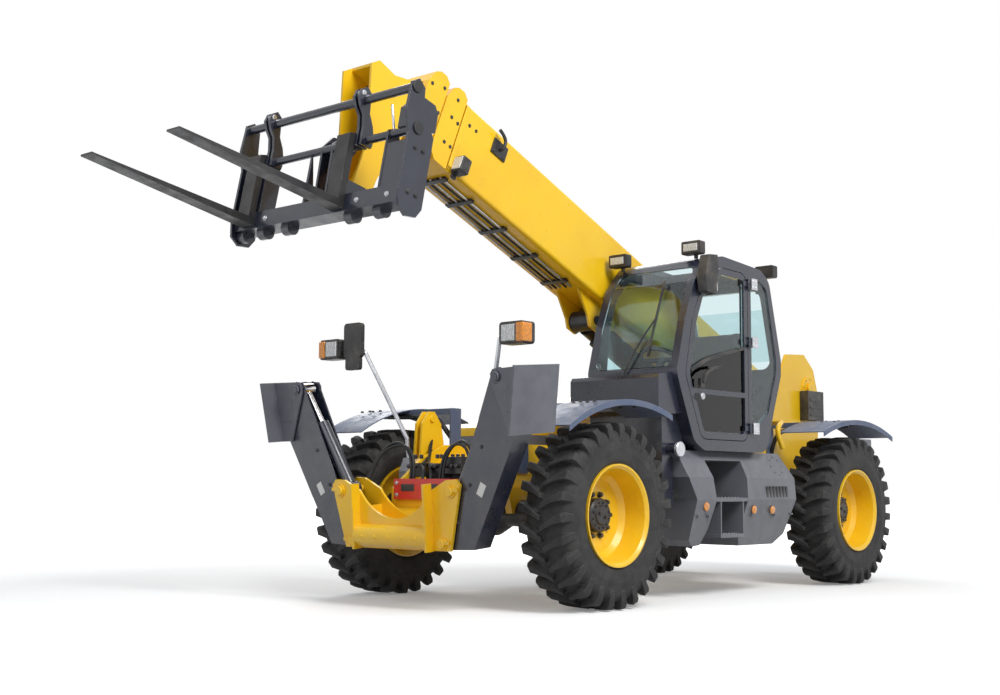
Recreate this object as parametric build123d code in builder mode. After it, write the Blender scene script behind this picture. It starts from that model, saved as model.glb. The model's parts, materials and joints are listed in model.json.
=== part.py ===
from build123d import *
from math import atan2, cos, degrees, hypot, radians, sin
import os

os.makedirs("parts", exist_ok=True)

# High-reach telescopic handler. Millimetres, +X forwards, +Y to the left, +Z up, floor at Z = 0.
# Lengths along X are given from the middle of the wheelbase, which lies MID_X from the origin.

# ---- driving dimensions ----
MID_X = -811.45
WHEELBASE = 3500.0
HALF_TRACK = 1020.0
CLEAR = 0.3

TYRE_DIAMETER = 1280.0
TYRE_WIDTH = 395.0
LUG_HEIGHT = 42.0
LUGS_PER_SIDE = 26
LUG_DRAFT = 5.0
TYRE_RIM_DIAMETER = 660.0
RIM_FLANGE_DIAMETER = 704.0
RIM_WIDTH = 352.0
RIM_WALL = 12.0
HUB_DIAMETER = 236.0
HUB_LENGTH = 168.0
HUB_FLANGE_DIAMETER = 304.0
KINGPIN_Y = 800.0
KINGPIN_DIAMETER = 90.0
KINGPIN_HALF_HEIGHT = 120.0

AXLE_TUBE_DIAMETER = 190.0
DIFF_DIAMETER = 330.0

RAIL_Y = 315.0
RAIL_THICKNESS = 30.0

BOOM_ANGLE = 22.5
BOOM_PIVOT_X = -2500.0
BOOM_PIVOT_Z = 1780.0
BOOM_PIVOT_RISE = 398.0
BOOM_PIVOT_DIAMETER = 90.0
BOOM_WALL = 12.0
BOOM_OUTER_WIDTH = 400.0
BOOM_OUTER_HEIGHT = 560.0
BOOM_STEP_WIDTH = 46.0
BOOM_STEP_HEIGHT = 58.0
BOOM_TAIL = -120.0
BOOM_OUTER_END = 5050.0
COLLAR_LENGTH = 190.0
COLLAR_GAP = 12.0

LIFT_EYE_S = 3000.0
LIFT_EYE_T = -415.0
LIFT_FOOT_X = -2100.0
LIFT_FOOT_Z = 985.0
LIFT_BARREL_DIAMETER = 190.0
LIFT_BARREL_LENGTH = 1900.0
LIFT_BORE = 150.0
LIFT_ROD_DIAMETER = 90.0
LIFT_ROD_LENGTH = 2250.0
LIFT_EYE_DIAMETER = 170.0
LIFT_EYE_WIDTH = 196.0
LIFT_FOOT_WIDTH = 110.0
LIFT_PIN_DIAMETER = 70.0

CARRIAGE_PIVOT_X = 3220.0
CARRIAGE_PIVOT_Z = 2740.0
CARRIAGE_PIVOT_DIAMETER = 60.0
CARRIAGE_ANGLE = 12.0
HEEL_X = 3550.0
HEEL_Z = 2625.0
CARRIAGE_HALF_WIDTH = 840.0
FORK_LENGTH = 1240.0
FORK_THICKNESS = 55.0
FORK_WIDTH = 125.0
FORK_LEFT_Y = 240.0
FORK_RIGHT_Y = -680.0

STAB_X = 2580.0
STAB_PITCH = 5.0
STAB_PIN_Y = 440.0
STAB_PIN_H = 460.0
STAB_TOP_PIN_Y = 540.0
STAB_TOP_PIN_H = 810.0
STAB_TIP_Y = 985.0
STAB_TIP_H = 1550.0
STAB_PIN_DIAMETER = 50.0
STAB_PLATE = 22.0
STAB_GAP = 176.0
STAB_LEG_DEPTH = 160.0
STAB_LEG_WALL = 12.0

CAB_INNER_Y = 262.0
CAB_OUTER_Y = 1100.0
CAB_WALL = 46.0
CAB_BOTTOM_Z = 1112.0
PANEL_TOP_Z = CAB_BOTTOM_Z - CLEAR
CAB_FLOOR_Z = 1160.0
GLASS = 8.0

POD_INNER_Y = -330.3
POD_OUTER_Y = -1130.0
POD_WALL = 6.0

# ---- sizes worked out from the driving ones ----
FRONT_AXLE_X = WHEELBASE / 2
REAR_AXLE_X = -WHEELBASE / 2
AXLE_Z = TYRE_DIAMETER / 2
BOOM_U = (cos(radians(BOOM_ANGLE)), sin(radians(BOOM_ANGLE)))
BOOM_FOOT_X = BOOM_PIVOT_X + BOOM_PIVOT_RISE * BOOM_U[1]
BOOM_FOOT_Z = BOOM_PIVOT_Z - BOOM_PIVOT_RISE * BOOM_U[0]


def boom_to_side(s, t):
    """Machine X and Z of a point given along (s) and above (t) the boom's centre line."""
    return (
        BOOM_FOOT_X + s * BOOM_U[0] - t * BOOM_U[1],
        BOOM_FOOT_Z + s * BOOM_U[1] + t * BOOM_U[0],
    )


# ---- working planes ----
def side(y):
    """Side view plane: sketch X is forwards, sketch Y is up, normal to the right."""
    return Plane(origin=(MID_X, y, 0), x_dir=(1, 0, 0), z_dir=(0, -1, 0))


def front(x):
    """Front view plane: sketch X is to the left, sketch Y is up, normal forwards."""
    return Plane(origin=(MID_X + x, 0, 0), x_dir=(0, 1, 0), z_dir=(1, 0, 0))


def deck(z):
    """Plan plane: sketch X is forwards, sketch Y is to the left, normal up."""
    return Plane(origin=(MID_X, 0, z), x_dir=(1, 0, 0), z_dir=(0, 0, 1))


def tilted_side(x, z, angle, y=0.0):
    """Side view plane whose own X axis is raised by an angle about the point (x, z)."""
    rise = radians(angle)
    return Plane(origin=(MID_X + x, y, z), x_dir=(cos(rise), 0, sin(rise)), z_dir=(0, -1, 0))


def tilted_cross(x, z, angle, along=0.0):
    """Plane across that direction, some way along it: sketch X is to the left."""
    rise = radians(angle)
    return Plane(
        origin=(MID_X + x + along * cos(rise), 0, z + along * sin(rise)),
        x_dir=(0, 1, 0),
        z_dir=(cos(rise), 0, sin(rise)),
    )


def boom_side(y=0.0):
    return tilted_side(BOOM_FOOT_X, BOOM_FOOT_Z, BOOM_ANGLE, y)


def boom_cross(s):
    return tilted_cross(BOOM_FOOT_X, BOOM_FOOT_Z, BOOM_ANGLE, s)


def stab_plane(depth=0.0):
    """Front view plane of the stabiliser frame, pitched forwards; depth is ahead of its middle."""
    pitch = radians(STAB_PITCH)
    foot_x = STAB_X - STAB_PIN_H * sin(pitch) + depth * cos(pitch)
    foot_z = STAB_PIN_H - STAB_PIN_H * cos(pitch) - depth * sin(pitch)
    return Plane(
        origin=(MID_X + foot_x, 0, foot_z), x_dir=(0, 1, 0), z_dir=(cos(pitch), 0, -sin(pitch))
    )


def carriage_side(y=0.0):
    """Side view plane of the tilted carriage, from the heel of the forks."""
    return tilted_side(HEEL_X, HEEL_Z, CARRIAGE_ANGLE, y)


def carriage_point(a, b):
    lean = radians(CARRIAGE_ANGLE)
    return (HEEL_X + a * cos(lean) - b * sin(lean), HEEL_Z + a * sin(lean) + b * cos(lean))


SIDES = ((1, "left"), (-1, "right"))
AXLES = ((FRONT_AXLE_X, "front"), (REAR_AXLE_X, "rear"))
written = []


def save(builder, name):
    """Label a finished piece and write it as its own STEP file."""
    builder.part.label = name
    export_step(builder.part, f"parts/{name}.step")
    written.append(name)


# ================= wheels =================
RIM_RADIUS = RIM_FLANGE_DIAMETER / 2
BEAD_RADIUS = TYRE_RIM_DIAMETER / 2
DISC_Y = -40.0  # of the wheel disc, inboard of the wheel's middle

# half of the tyre's cross section between the lugs: distance from the wheel's middle, radius
TYRE_SECTION = (
    (RIM_WIDTH / 2 - 50, BEAD_RADIUS + CLEAR),
    (RIM_WIDTH / 2 - 8 - CLEAR, BEAD_RADIUS + CLEAR),
    (RIM_WIDTH / 2 - 8 - CLEAR, RIM_RADIUS + 4),
    (TYRE_WIDTH / 2 - 6, RIM_RADIUS + 60),
    (TYRE_WIDTH / 2 - 6, TYRE_DIAMETER / 2 - 120),
    (TYRE_WIDTH / 2 - 30, TYRE_DIAMETER / 2 - LUG_HEIGHT - 22),
    (TYRE_WIDTH / 2 - 70, TYRE_DIAMETER / 2 - LUG_HEIGHT),
)
# plan of one lug: distance from the middle of the tread, place round the tread
LUG_PLAN = (
    (TYRE_WIDTH / 2, -4),
    (TYRE_WIDTH / 2, 58),
    (104, 50),
    (-6, -24),
    (-6, -58),
    (112, -14),
)

# half of the rim's cross section outside the disc: distance outwards, radius
RIM_OUTSIDE = (
    (RIM_WIDTH / 2 + 12, RIM_RADIUS),
    (RIM_WIDTH / 2 - 8, RIM_RADIUS),
    (RIM_WIDTH / 2 - 8, BEAD_RADIUS),
)


def wheel_plane(x, sign):
    """Plane through a wheel's axle: sketch X is outboard along the axle, sketch Y is up."""
    centre = (MID_X + x, sign * HALF_TRACK, AXLE_Z)
    return Plane(origin=centre, x_dir=(0, sign, 0), z_dir=(sign, 0, 0))




def tread_plane(turn):
    """Plane on the tread, turned round the axle: sketch X is along the axle, normal outwards."""
    angle = radians(turn)
    outwards = (sin(angle), 0, cos(angle))
    base = TYRE_DIAMETER / 2 - 2 * LUG_HEIGHT
    return Plane(origin=[base * v for v in outwards], x_dir=(0, 1, 0), z_dir=outwards)


LUG_TURN = 360 / LUGS_PER_SIDE
# lugs of one tyre about its own centre, cut to the tread's outline
with BuildPart() as lugs:
    for half, start in ((1, 0.0), (-1, LUG_TURN / 2)):
        with BuildSketch(*[tread_plane(start + LUG_TURN * k) for k in range(LUGS_PER_SIDE)]):
            with BuildLine():
                Polyline(*[(half * y, c) for y, c in LUG_PLAN], close=True)
            make_face()
        extrude(amount=2 * LUG_HEIGHT + 10, taper=LUG_DRAFT)
    with BuildSketch(Plane.XZ):
        Circle(TYRE_DIAMETER / 2)
    extrude(amount=TYRE_WIDTH / 2, both=True, mode=Mode.INTERSECT)

with BuildPart() as tyre_pattern:
    with BuildSketch(Plane.YZ):
        with BuildLine():
            Polyline(*TYRE_SECTION, *[(-y, r) for y, r in reversed(TYRE_SECTION)], close=True)
        make_face()
    revolve(axis=Axis.Y)
    add(lugs.part)
mirrored_tyre = mirror(tyre_pattern.part, about=Plane.XZ)

for axle_x, end in AXLES:
    for sign, hand in SIDES:
        plane = wheel_plane(axle_x, sign)
        spin = Axis(plane.origin, (0, 1, 0))
        pattern = tyre_pattern.part if sign > 0 else mirrored_tyre
        with BuildPart() as tyre:
            add(pattern.moved(Location(plane.origin)))
        save(tyre, f"tyre_{end}_{hand}")

        with BuildPart() as rim:
            with BuildSketch(plane):
                with BuildLine():
                    Polyline(
                        *RIM_OUTSIDE,
                        (-RIM_WIDTH / 2 + 8, BEAD_RADIUS),
                        (-RIM_WIDTH / 2 + 8, RIM_RADIUS),
                        (-RIM_WIDTH / 2 - 12, RIM_RADIUS),
                        (-RIM_WIDTH / 2 - 12, RIM_RADIUS - RIM_WALL),
                        (-RIM_WIDTH / 2 + 14, BEAD_RADIUS - 16),
                        (DISC_Y - 40, BEAD_RADIUS - 34),
                        (DISC_Y, BEAD_RADIUS - 60),
                        (DISC_Y - 10, HUB_DIAMETER / 2 + CLEAR),
                        (DISC_Y + 14, HUB_DIAMETER / 2 + CLEAR),
                        (DISC_Y + 24, HUB_DIAMETER / 2 + 60),
                        (DISC_Y + 26, BEAD_RADIUS - 70),
                        (DISC_Y + 60, BEAD_RADIUS - 34),
                        (RIM_WIDTH / 2 - 50, BEAD_RADIUS - 18),
                        (RIM_WIDTH / 2 - 6, BEAD_RADIUS - 10),
                        (RIM_WIDTH / 2 + 12, RIM_RADIUS - RIM_WALL),
                        close=True,
                    )
                make_face()
            revolve(axis=spin)
        save(rim, f"rim_{end}_{hand}")

        with BuildPart() as hub:
            with BuildSketch(plane):
                with BuildLine():
                    Polyline(
                        (-HUB_LENGTH + CLEAR, 0),
                        (-HUB_LENGTH + CLEAR, HUB_DIAMETER / 2 - 6),
                        (DISC_Y - 40, HUB_DIAMETER / 2 - 6),
                        (DISC_Y - 40, HUB_FLANGE_DIAMETER / 2),
                        (DISC_Y - 10 - CLEAR, HUB_FLANGE_DIAMETER / 2),
                        (DISC_Y - 10 - CLEAR, HUB_DIAMETER / 2),
                        (DISC_Y + 60, HUB_DIAMETER / 2),
                        (DISC_Y + 72, HUB_DIAMETER / 2 - 12),
                        (DISC_Y + 72, 70),
                        (DISC_Y + 84, 62),
                        (DISC_Y + 84, 0),
                        close=True,
                    )
                make_face()
            revolve(axis=spin)
        save(hub, f"hub_{end}_{hand}")

        # swivel housing between the axle's fork and the hub
        with BuildPart() as knuckle:
            with BuildSketch(plane):
                with BuildLine():
                    inner = KINGPIN_Y - HALF_TRACK
                    Polyline(
                        (-HUB_LENGTH, 0),
                        (-HUB_LENGTH, 104),
                        (inner + 10, 104),
                        (inner - 34, 80),
                        (inner - 34, 0),
                        close=True,
                    )
                make_face()
            revolve(axis=spin)
            with BuildSketch(Plane(origin=(MID_X + axle_x, sign * KINGPIN_Y, AXLE_Z))):
                Circle(KINGPIN_DIAMETER / 2)
            extrude(amount=KINGPIN_HALF_HEIGHT, both=True)
        save(knuckle, f"knuckle_{end}_{hand}")

# ================= axles =================
YOKE_INNER = KINGPIN_HALF_HEIGHT + CLEAR
YOKE_OUTER = 150.0
YOKE_ROOT_Y = KINGPIN_Y - 150
for axle_x, end in AXLES:
    centre = (MID_X + axle_x, 0, AXLE_Z)
    with BuildPart() as axle:
        with BuildSketch(Plane(origin=centre, x_dir=(1, 0, 0), z_dir=(0, 1, 0))):
            Circle(AXLE_TUBE_DIAMETER / 2)
        extrude(amount=YOKE_ROOT_Y, both=True)
        # differential housing, a body of revolution about the axle
        with BuildSketch(Plane(origin=centre, x_dir=(0, 1, 0), z_dir=(1, 0, 0))):
            with BuildLine():
                Polyline(
                    (-300, 0),
                    (-230, 95),
                    (-90, DIFF_DIAMETER / 2),
                    (90, DIFF_DIAMETER / 2),
                    (230, 95),
                    (300, 0),
                    close=True,
                )
            make_face()
        revolve(axis=Axis(centre, (0, 1, 0)))
        for sign, hand in SIDES:
            # yoke whose two arms hold the kingpin
            with BuildSketch(Plane(origin=centre, x_dir=(0, sign, 0), z_dir=(1, 0, 0))):
                with BuildLine():
                    Polyline(
                        (YOKE_ROOT_Y - 60, -80),
                        (YOKE_ROOT_Y, -YOKE_OUTER),
                        (KINGPIN_Y + 30, -YOKE_OUTER),
                        (KINGPIN_Y + 30, -YOKE_INNER),
                        (YOKE_ROOT_Y + 50, -YOKE_INNER),
                        (YOKE_ROOT_Y + 20, 0),
                        (YOKE_ROOT_Y + 50, YOKE_INNER),
                        (KINGPIN_Y + 30, YOKE_INNER),
                        (KINGPIN_Y + 30, YOKE_OUTER),
                        (YOKE_ROOT_Y, YOKE_OUTER),
                        (YOKE_ROOT_Y - 60, 80),
                        close=True,
                    )
                make_face()
            extrude(amount=65, both=True)
    save(axle, f"axle_{end}")

# ================= chassis =================
PIVOT = (BOOM_PIVOT_X, BOOM_PIVOT_Z)
RAIL_FRONT_X = STAB_X - STAB_GAP / 2 - STAB_PLATE - 50
RAIL_INNER_Y = RAIL_Y - RAIL_THICKNESS / 2
RAIL_FACE_Y = RAIL_Y + RAIL_THICKNESS / 2 + CLEAR  # outer face of the rails, for the pieces on it
SADDLE_Z = AXLE_Z + 60
RAIL_ARCH_Z = AXLE_Z + 180  # underside of the rails over the axles
# side outline of each main rail with its tower, forwards and up
RAIL_OUTLINE = (
    (RAIL_FRONT_X, 500),
    (RAIL_FRONT_X, RAIL_ARCH_Z),
    (2140, 1040),
    (1900, 1140),
    (1200, 1140),
    (900, 1010),
    (-1150, 1010),
    (-1560, 1240),
    (-2100, 2090),
    (-2430, 2110),
    (-2610, 1970),
    (-2680, 1770),
    (-2700, 1480),
    (-2620, 860),
    (-2440, RAIL_ARCH_Z),
    (-1400, RAIL_ARCH_Z),
    (-1150, 540),
    (1150, 540),
    (1400, RAIL_ARCH_Z),
    (2100, RAIL_ARCH_Z),
    (2200, 500),
)
# plates across between the rails: rear X, front X, bottom Z, top Z
CROSS_PLATES = (
    (-1160, 1160, 540, 565),
    (RAIL_FRONT_X - 24, RAIL_FRONT_X, 500, 740),
    (1380, 2080, RAIL_ARCH_Z, RAIL_ARCH_Z + 25),
    (-2668, -2646, 1250, 1470),
)
with BuildPart() as chassis:
    for sign, hand in SIDES:
        with BuildSketch(side(sign * RAIL_Y)):
            with BuildLine():
                Polyline(*RAIL_OUTLINE, close=True)
            make_face()
        extrude(amount=RAIL_THICKNESS / 2, both=True)
        # boss that carries the boom's pin
        with BuildSketch(side(sign * RAIL_Y)):
            with Locations(PIVOT):
                Circle(120)
        extrude(amount=RAIL_THICKNESS / 2 + 12, both=True)
        # foot plate and bearing that clamp each axle under the rail
        for axle_x, end in AXLES:
            with BuildSketch(side(sign * RAIL_Y)):
                with BuildLine():
                    Polyline(
                        (axle_x - 170, RAIL_ARCH_Z + 10),
                        (axle_x - 120, SADDLE_Z - 60),
                        (axle_x + 120, SADDLE_Z - 60),
                        (axle_x + 170, RAIL_ARCH_Z + 10),
                        close=True,
                    )
                make_face()
                with Locations((axle_x, AXLE_Z)):
                    Circle(AXLE_TUBE_DIAMETER / 2 + CLEAR, mode=Mode.SUBTRACT)
            extrude(amount=RAIL_THICKNESS / 2 + 15, both=True)
    for x0, x1, z0, z1 in CROSS_PLATES:
        with BuildSketch(side(0)):
            with Locations(((x0 + x1) / 2, (z0 + z1) / 2)):
                Rectangle(x1 - x0, z1 - z0)
        extrude(amount=RAIL_INNER_Y + 1, both=True)
    # feet under the cab
    for foot_x in (-300, 400):
        with BuildSketch(side(RAIL_Y - 10)):
            with Locations((foot_x, (1000 + CAB_BOTTOM_Z - CLEAR) / 2)):
                Rectangle(140, CAB_BOTTOM_Z - CLEAR - 1000)
        extrude(amount=25, both=True)
    # cross tube and two lugs for the foot of the lift cylinder
    with BuildSketch(side(0)):
        with Locations((LIFT_FOOT_X - 230, LIFT_FOOT_Z - 30)):
            Circle(70)
    extrude(amount=RAIL_INNER_Y + 1, both=True)
    lug_middle = LIFT_FOOT_WIDTH / 2 + 3 + 12.5
    for sign, hand in SIDES:
        with BuildSketch(side(sign * lug_middle)):
            with BuildLine():
                Polyline(
                    (LIFT_FOOT_X - 230, LIFT_FOOT_Z + 40),
                    (LIFT_FOOT_X - 20, LIFT_FOOT_Z + 70),
                    (LIFT_FOOT_X + 85, LIFT_FOOT_Z + 30),
                    (LIFT_FOOT_X + 85, LIFT_FOOT_Z - 50),
                    (LIFT_FOOT_X - 10, LIFT_FOOT_Z - 100),
                    (LIFT_FOOT_X - 230, LIFT_FOOT_Z - 110),
                    close=True,
                )
            make_face()
        extrude(amount=12.5, both=True)
    # pin of the boom, held in both towers
    with BuildSketch(side(0)):
        with Locations(PIVOT):
            Circle(BOOM_PIVOT_DIAMETER / 2)
    extrude(amount=RAIL_Y + RAIL_THICKNESS / 2 + 30, both=True)
    # ear plates of the levelling cylinder, ahead of the front axle
    for y in (-430, -372):
        with BuildSketch(side(y)):
            with BuildLine():
                Polyline(
                    (1840, 1100), (2100, 1010), (2080, 1300), (2010, 1390), (1950, 1390),
                    (1880, 1300), close=True,
                )
            make_face()
        extrude(amount=10, both=True)
    with BuildSketch(side(-RAIL_Y - 60)):
        with BuildLine():
            Polyline((1840, 1040), (2100, 1000), (2100, 1040), (1840, 1100), close=True)
        make_face()
    extrude(amount=70, both=True)
    with BuildSketch(side(-401)):
        with Locations((1980, 1335)):
            Circle(24)
    extrude(amount=52, both=True)
save(chassis, "chassis")

# counterweight behind the rear axle
TOW_X = -3090.0
TOW_Z = 860.0
TOW_PLATE = 60.0
TOW_HOLE_DIAMETER = 44.0
with BuildPart() as counterweight:
    with BuildSketch(side(0)):
        with BuildLine():
            Polyline(
                (-2530, 560),
                (-2960, 620),
                (-3060, 760),
                (-3060, 1180),
                (-2960, 1300),
                (-2676.8 - CLEAR, 1300),
                (-2621.3 - CLEAR, 870),
                (-2621.3 - CLEAR, 830),
                (-2530, 810),
                close=True,
            )
        make_face()
    extrude(amount=760, both=True)
    chamfer(counterweight.edges().filter_by(Axis.Z).sort_by(Axis.X)[:2], 120)
    # towing plate with its vertical pin hole
    with BuildSketch(deck(TOW_Z)):
        with Locations((TOW_X + 70, 0)):
            Rectangle(140, 100)
        with Locations((TOW_X, 0)):
            Circle(50)
            Circle(TOW_HOLE_DIAMETER / 2, mode=Mode.SUBTRACT)
    extrude(amount=TOW_PLATE)
save(counterweight, "counterweight")

# ================= stabiliser frame =================
PLATE_OUTLINE = (
    (512, 412),
    (STAB_TOP_PIN_Y + 86, 850),
    (STAB_TOP_PIN_Y + 50, 890),
    (STAB_TOP_PIN_Y - 40, 885),
    (345, 810),
)
STAB_MID = STAB_GAP / 2
FRONT_RIB_Y = 355.0
FRONT_TUBE_H = 500.0
FRONT_TUBE_RADIUS = 78.0
with BuildPart() as front_frame:
    for depth in (STAB_MID, -STAB_MID - STAB_PLATE):
        with BuildSketch(stab_plane(depth)):
            with BuildLine():
                Polyline((0, 412), *PLATE_OUTLINE)
                ThreePointArc((345, 810), (0, 620), (-345, 810))
                mirrored = [(-y, h) for y, h in reversed(PLATE_OUTLINE)]
                Polyline(*mirrored, (0, 412))
            make_face()
        extrude(amount=STAB_PLATE)
    # cross tube between the two plates and the ribs beside the legs
    with BuildSketch(stab_plane(-STAB_MID)):
        with Locations((0, 500)):
            Rectangle(640, 150)
        for sign, hand in SIDES:
            with BuildLine():
                Polyline(
                    (sign * 330, 412), (sign * 350, 412), (sign * 350, 700), (sign * 330, 700),
                    close=True,
                )
            make_face()
    extrude(amount=STAB_GAP)
    # cross tube, upright ribs and gussets on the front face
    face = STAB_MID + STAB_PLATE
    tube_plane = Plane(
        origin=stab_plane(face + 4).from_local_coords(Vector(0, FRONT_TUBE_H, 0)),
        x_dir=stab_plane().z_dir,
        z_dir=(0, 1, 0),
    )
    with BuildSketch(tube_plane):
        Circle(FRONT_TUBE_RADIUS)
    extrude(amount=FRONT_RIB_Y, both=True)
    with BuildSketch(stab_plane(face)):
        for sign, hand in SIDES:
            with BuildLine():
                Polyline(
                    (sign * (FRONT_RIB_Y - 10), 408),
                    (sign * (FRONT_RIB_Y + 10), 408),
                    (sign * (FRONT_RIB_Y + 10), 862),
                    (sign * (FRONT_RIB_Y - 10), 862),
                    close=True,
                )
            make_face()
    extrude(amount=76)
    # bosses round the pins, on both faces
    for depth in (face, -face - 12):
        with BuildSketch(stab_plane(depth)):
            with Locations((STAB_PIN_Y, STAB_PIN_H), (-STAB_PIN_Y, STAB_PIN_H)):
                Circle(46)
            with Locations((STAB_TOP_PIN_Y, STAB_TOP_PIN_H), (-STAB_TOP_PIN_Y, STAB_TOP_PIN_H)):
                Circle(46)
        extrude(amount=12)
    # pins of the legs and of their cylinders
    for sign, hand in SIDES:
        with BuildSketch(stab_plane(-STAB_MID - STAB_PLATE - 20)):
            with Locations(
                (sign * STAB_PIN_Y, STAB_PIN_H),
                (sign * STAB_TOP_PIN_Y, STAB_TOP_PIN_H),
            ):
                Circle(STAB_PIN_DIAMETER / 2)
        extrude(amount=STAB_GAP + 2 * STAB_PLATE + 44)
    # neck that ties the frame to the chassis
    with BuildSketch(side(0)):
        with BuildLine():
            Polyline(
                (RAIL_FRONT_X + CLEAR, 500), (RAIL_FRONT_X + CLEAR, 690), (STAB_X - STAB_MID, 640),
                (STAB_X - STAB_MID - 10, 440), close=True,
            )
        make_face()
    extrude(amount=280, both=True)
save(front_frame, "front_frame")

# ================= stabilisers =================
LEG_OUTLINE = (
    (STAB_PIN_Y - 44, STAB_PIN_H - 46),
    (700, 425),
    (1110, 1170),
    (1140, 1390),
    (STAB_TIP_Y + 62, STAB_TIP_H + 20),
    (STAB_TIP_Y + 20, STAB_TIP_H + 60),
    (STAB_TIP_Y - 40, STAB_TIP_H + 50),
    (STAB_TIP_Y - 66, STAB_TIP_H),
    (650, 960),
    (505, 600),
    (STAB_PIN_Y - 50, 520),
)
LEG_WEB = (
    (650, 425),
    (700, 425),
    (1110, 1170),
    (1140, 1390),
    (1126, 1390),
    (1094, 1176),
)
STAB_BARREL_DIAMETER = 100.0
STAB_ROD_DIAMETER = 50.0
STAB_BARREL_LENGTH = 560.0
SHOE_LENGTH = 450.0
SHOE_WALL = 14.0
CYL_Y = STAB_TIP_Y - STAB_TOP_PIN_Y
CYL_H = STAB_TIP_H - STAB_TOP_PIN_H
STAB_CYL_LENGTH = hypot(CYL_Y, CYL_H)


def stab_cylinder_plane(sign):
    """Plane of one leg's cylinder: sketch X runs from the frame's pin to the leg's tip."""
    base = stab_plane()
    foot = base.from_local_coords(Vector(sign * STAB_TOP_PIN_Y, STAB_TOP_PIN_H, 0))
    tip = base.from_local_coords(Vector(sign * STAB_TIP_Y, STAB_TIP_H, 0))
    return Plane(origin=foot, x_dir=tip - foot, z_dir=base.z_dir)


for sign, hand in SIDES:
    leg_half = STAB_LEG_DEPTH / 2
    with BuildPart() as leg:
        for depth in (-leg_half, leg_half - STAB_LEG_WALL):
            with BuildSketch(stab_plane(depth)):
                with BuildLine():
                    Polyline(*[(sign * y, h) for y, h in LEG_OUTLINE], close=True)
                make_face()
                with Locations((sign * STAB_PIN_Y, STAB_PIN_H)):
                    Circle(STAB_PIN_DIAMETER / 2 + 0.05, mode=Mode.SUBTRACT)
            extrude(amount=STAB_LEG_WALL)
        with BuildSketch(stab_plane(-leg_half)):
            with BuildLine():
                Polyline(*[(sign * y, h) for y, h in LEG_WEB], close=True)
            make_face()
        extrude(amount=STAB_LEG_DEPTH)
        # floor between the flanges at the foot, tied to the web
        with BuildSketch(stab_plane(-leg_half)):
            with BuildLine():
                Polyline(
                    (sign * 500, 419), (sign * 700, 425), (sign * 700, 437), (sign * 500, 431),
                    close=True,
                )
            make_face()
        extrude(amount=STAB_LEG_DEPTH)
        # pin at the tip, outside the flanges, that carries the shoe
        for depth in (-leg_half - 40, leg_half):
            with BuildSketch(stab_plane(depth)):
                with Locations((sign * STAB_TIP_Y, STAB_TIP_H)):
                    Circle(STAB_PIN_DIAMETER / 2)
            extrude(amount=40)
    save(leg, f"stabiliser_leg_{hand}")

    with BuildPart() as shoe:
        shoe_half = leg_half + CLEAR * 10
        for depth in (-shoe_half - SHOE_WALL, shoe_half):
            with BuildSketch(stab_plane(depth)):
                with BuildLine():
                    Polyline(
                        (sign * (STAB_TIP_Y - 52), STAB_TIP_H + 20),
                        (sign * (STAB_TIP_Y - 30), STAB_TIP_H + 50),
                        (sign * 1255, 1610),
                        (sign * 1185, 1170),
                        (sign * 1070, 1170),
                        (sign * (STAB_TIP_Y - 45), STAB_TIP_H - 40),
                        close=True,
                    )
                make_face()
                with Locations((sign * STAB_TIP_Y, STAB_TIP_H)):
                    Circle(STAB_PIN_DIAMETER / 2 + 0.05, mode=Mode.SUBTRACT)
            extrude(amount=SHOE_WALL)
        with BuildSketch(stab_plane()):
            with BuildLine():
                Polyline(
                    (sign * 1255, 1610), (sign * 1185, 1170), (sign * 1171, 1172),
                    (sign * 1241, 1612), close=True,
                )
            make_face()
        extrude(amount=SHOE_LENGTH / 2, both=True)
    save(shoe, f"stabiliser_shoe_{hand}")

    across = stab_cylinder_plane(sign)
    with BuildPart() as barrel:
        with BuildSketch(across):
            with BuildLine():
                Polyline(
                    (40, 0), (40, 44), (STAB_BARREL_LENGTH, 50), (STAB_BARREL_LENGTH, 0),
                    close=True,
                )
            make_face()
        revolve(axis=Axis(across.origin, across.x_dir))
        with BuildSketch(across):
            Circle(56)
        extrude(amount=44, both=True)
        with BuildSketch(across):
            Circle(STAB_PIN_DIAMETER / 2 + 0.05)
        extrude(amount=60, both=True, mode=Mode.SUBTRACT)
        bore = Plane(origin=across.from_local_coords(Vector(110, 0, 0)), z_dir=across.x_dir)
        with BuildSketch(bore):
            Circle(STAB_ROD_DIAMETER / 2 + CLEAR)
        extrude(amount=STAB_BARREL_LENGTH, mode=Mode.SUBTRACT)
    save(barrel, f"stabiliser_barrel_{hand}")

    with BuildPart() as rod:
        start = Plane(origin=across.from_local_coords(Vector(130, 0, 0)), z_dir=across.x_dir)
        with BuildSketch(start):
            Circle(STAB_ROD_DIAMETER / 2)
        extrude(amount=STAB_CYL_LENGTH - 130)
        with BuildSketch(across):
            with Locations((STAB_CYL_LENGTH, 0)):
                Circle(44)
        extrude(amount=50, both=True)
    save(rod, f"stabiliser_rod_{hand}")

# ================= boom =================
OUTER_HALF_W = BOOM_OUTER_WIDTH / 2
OUTER_HALF_H = BOOM_OUTER_HEIGHT / 2
TAIL_PLATE = 20.0


def tube_solid(start, end, width, height):
    """Rounded box tube between two stations along the boom."""
    with BuildPart() as tube:
        with BuildSketch(boom_cross(start)):
            RectangleRounded(width, height, 30)
            RectangleRounded(width - 2 * BOOM_WALL, height - 2 * BOOM_WALL, 18, mode=Mode.SUBTRACT)
        extrude(amount=end - start)
    return tube.part


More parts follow.
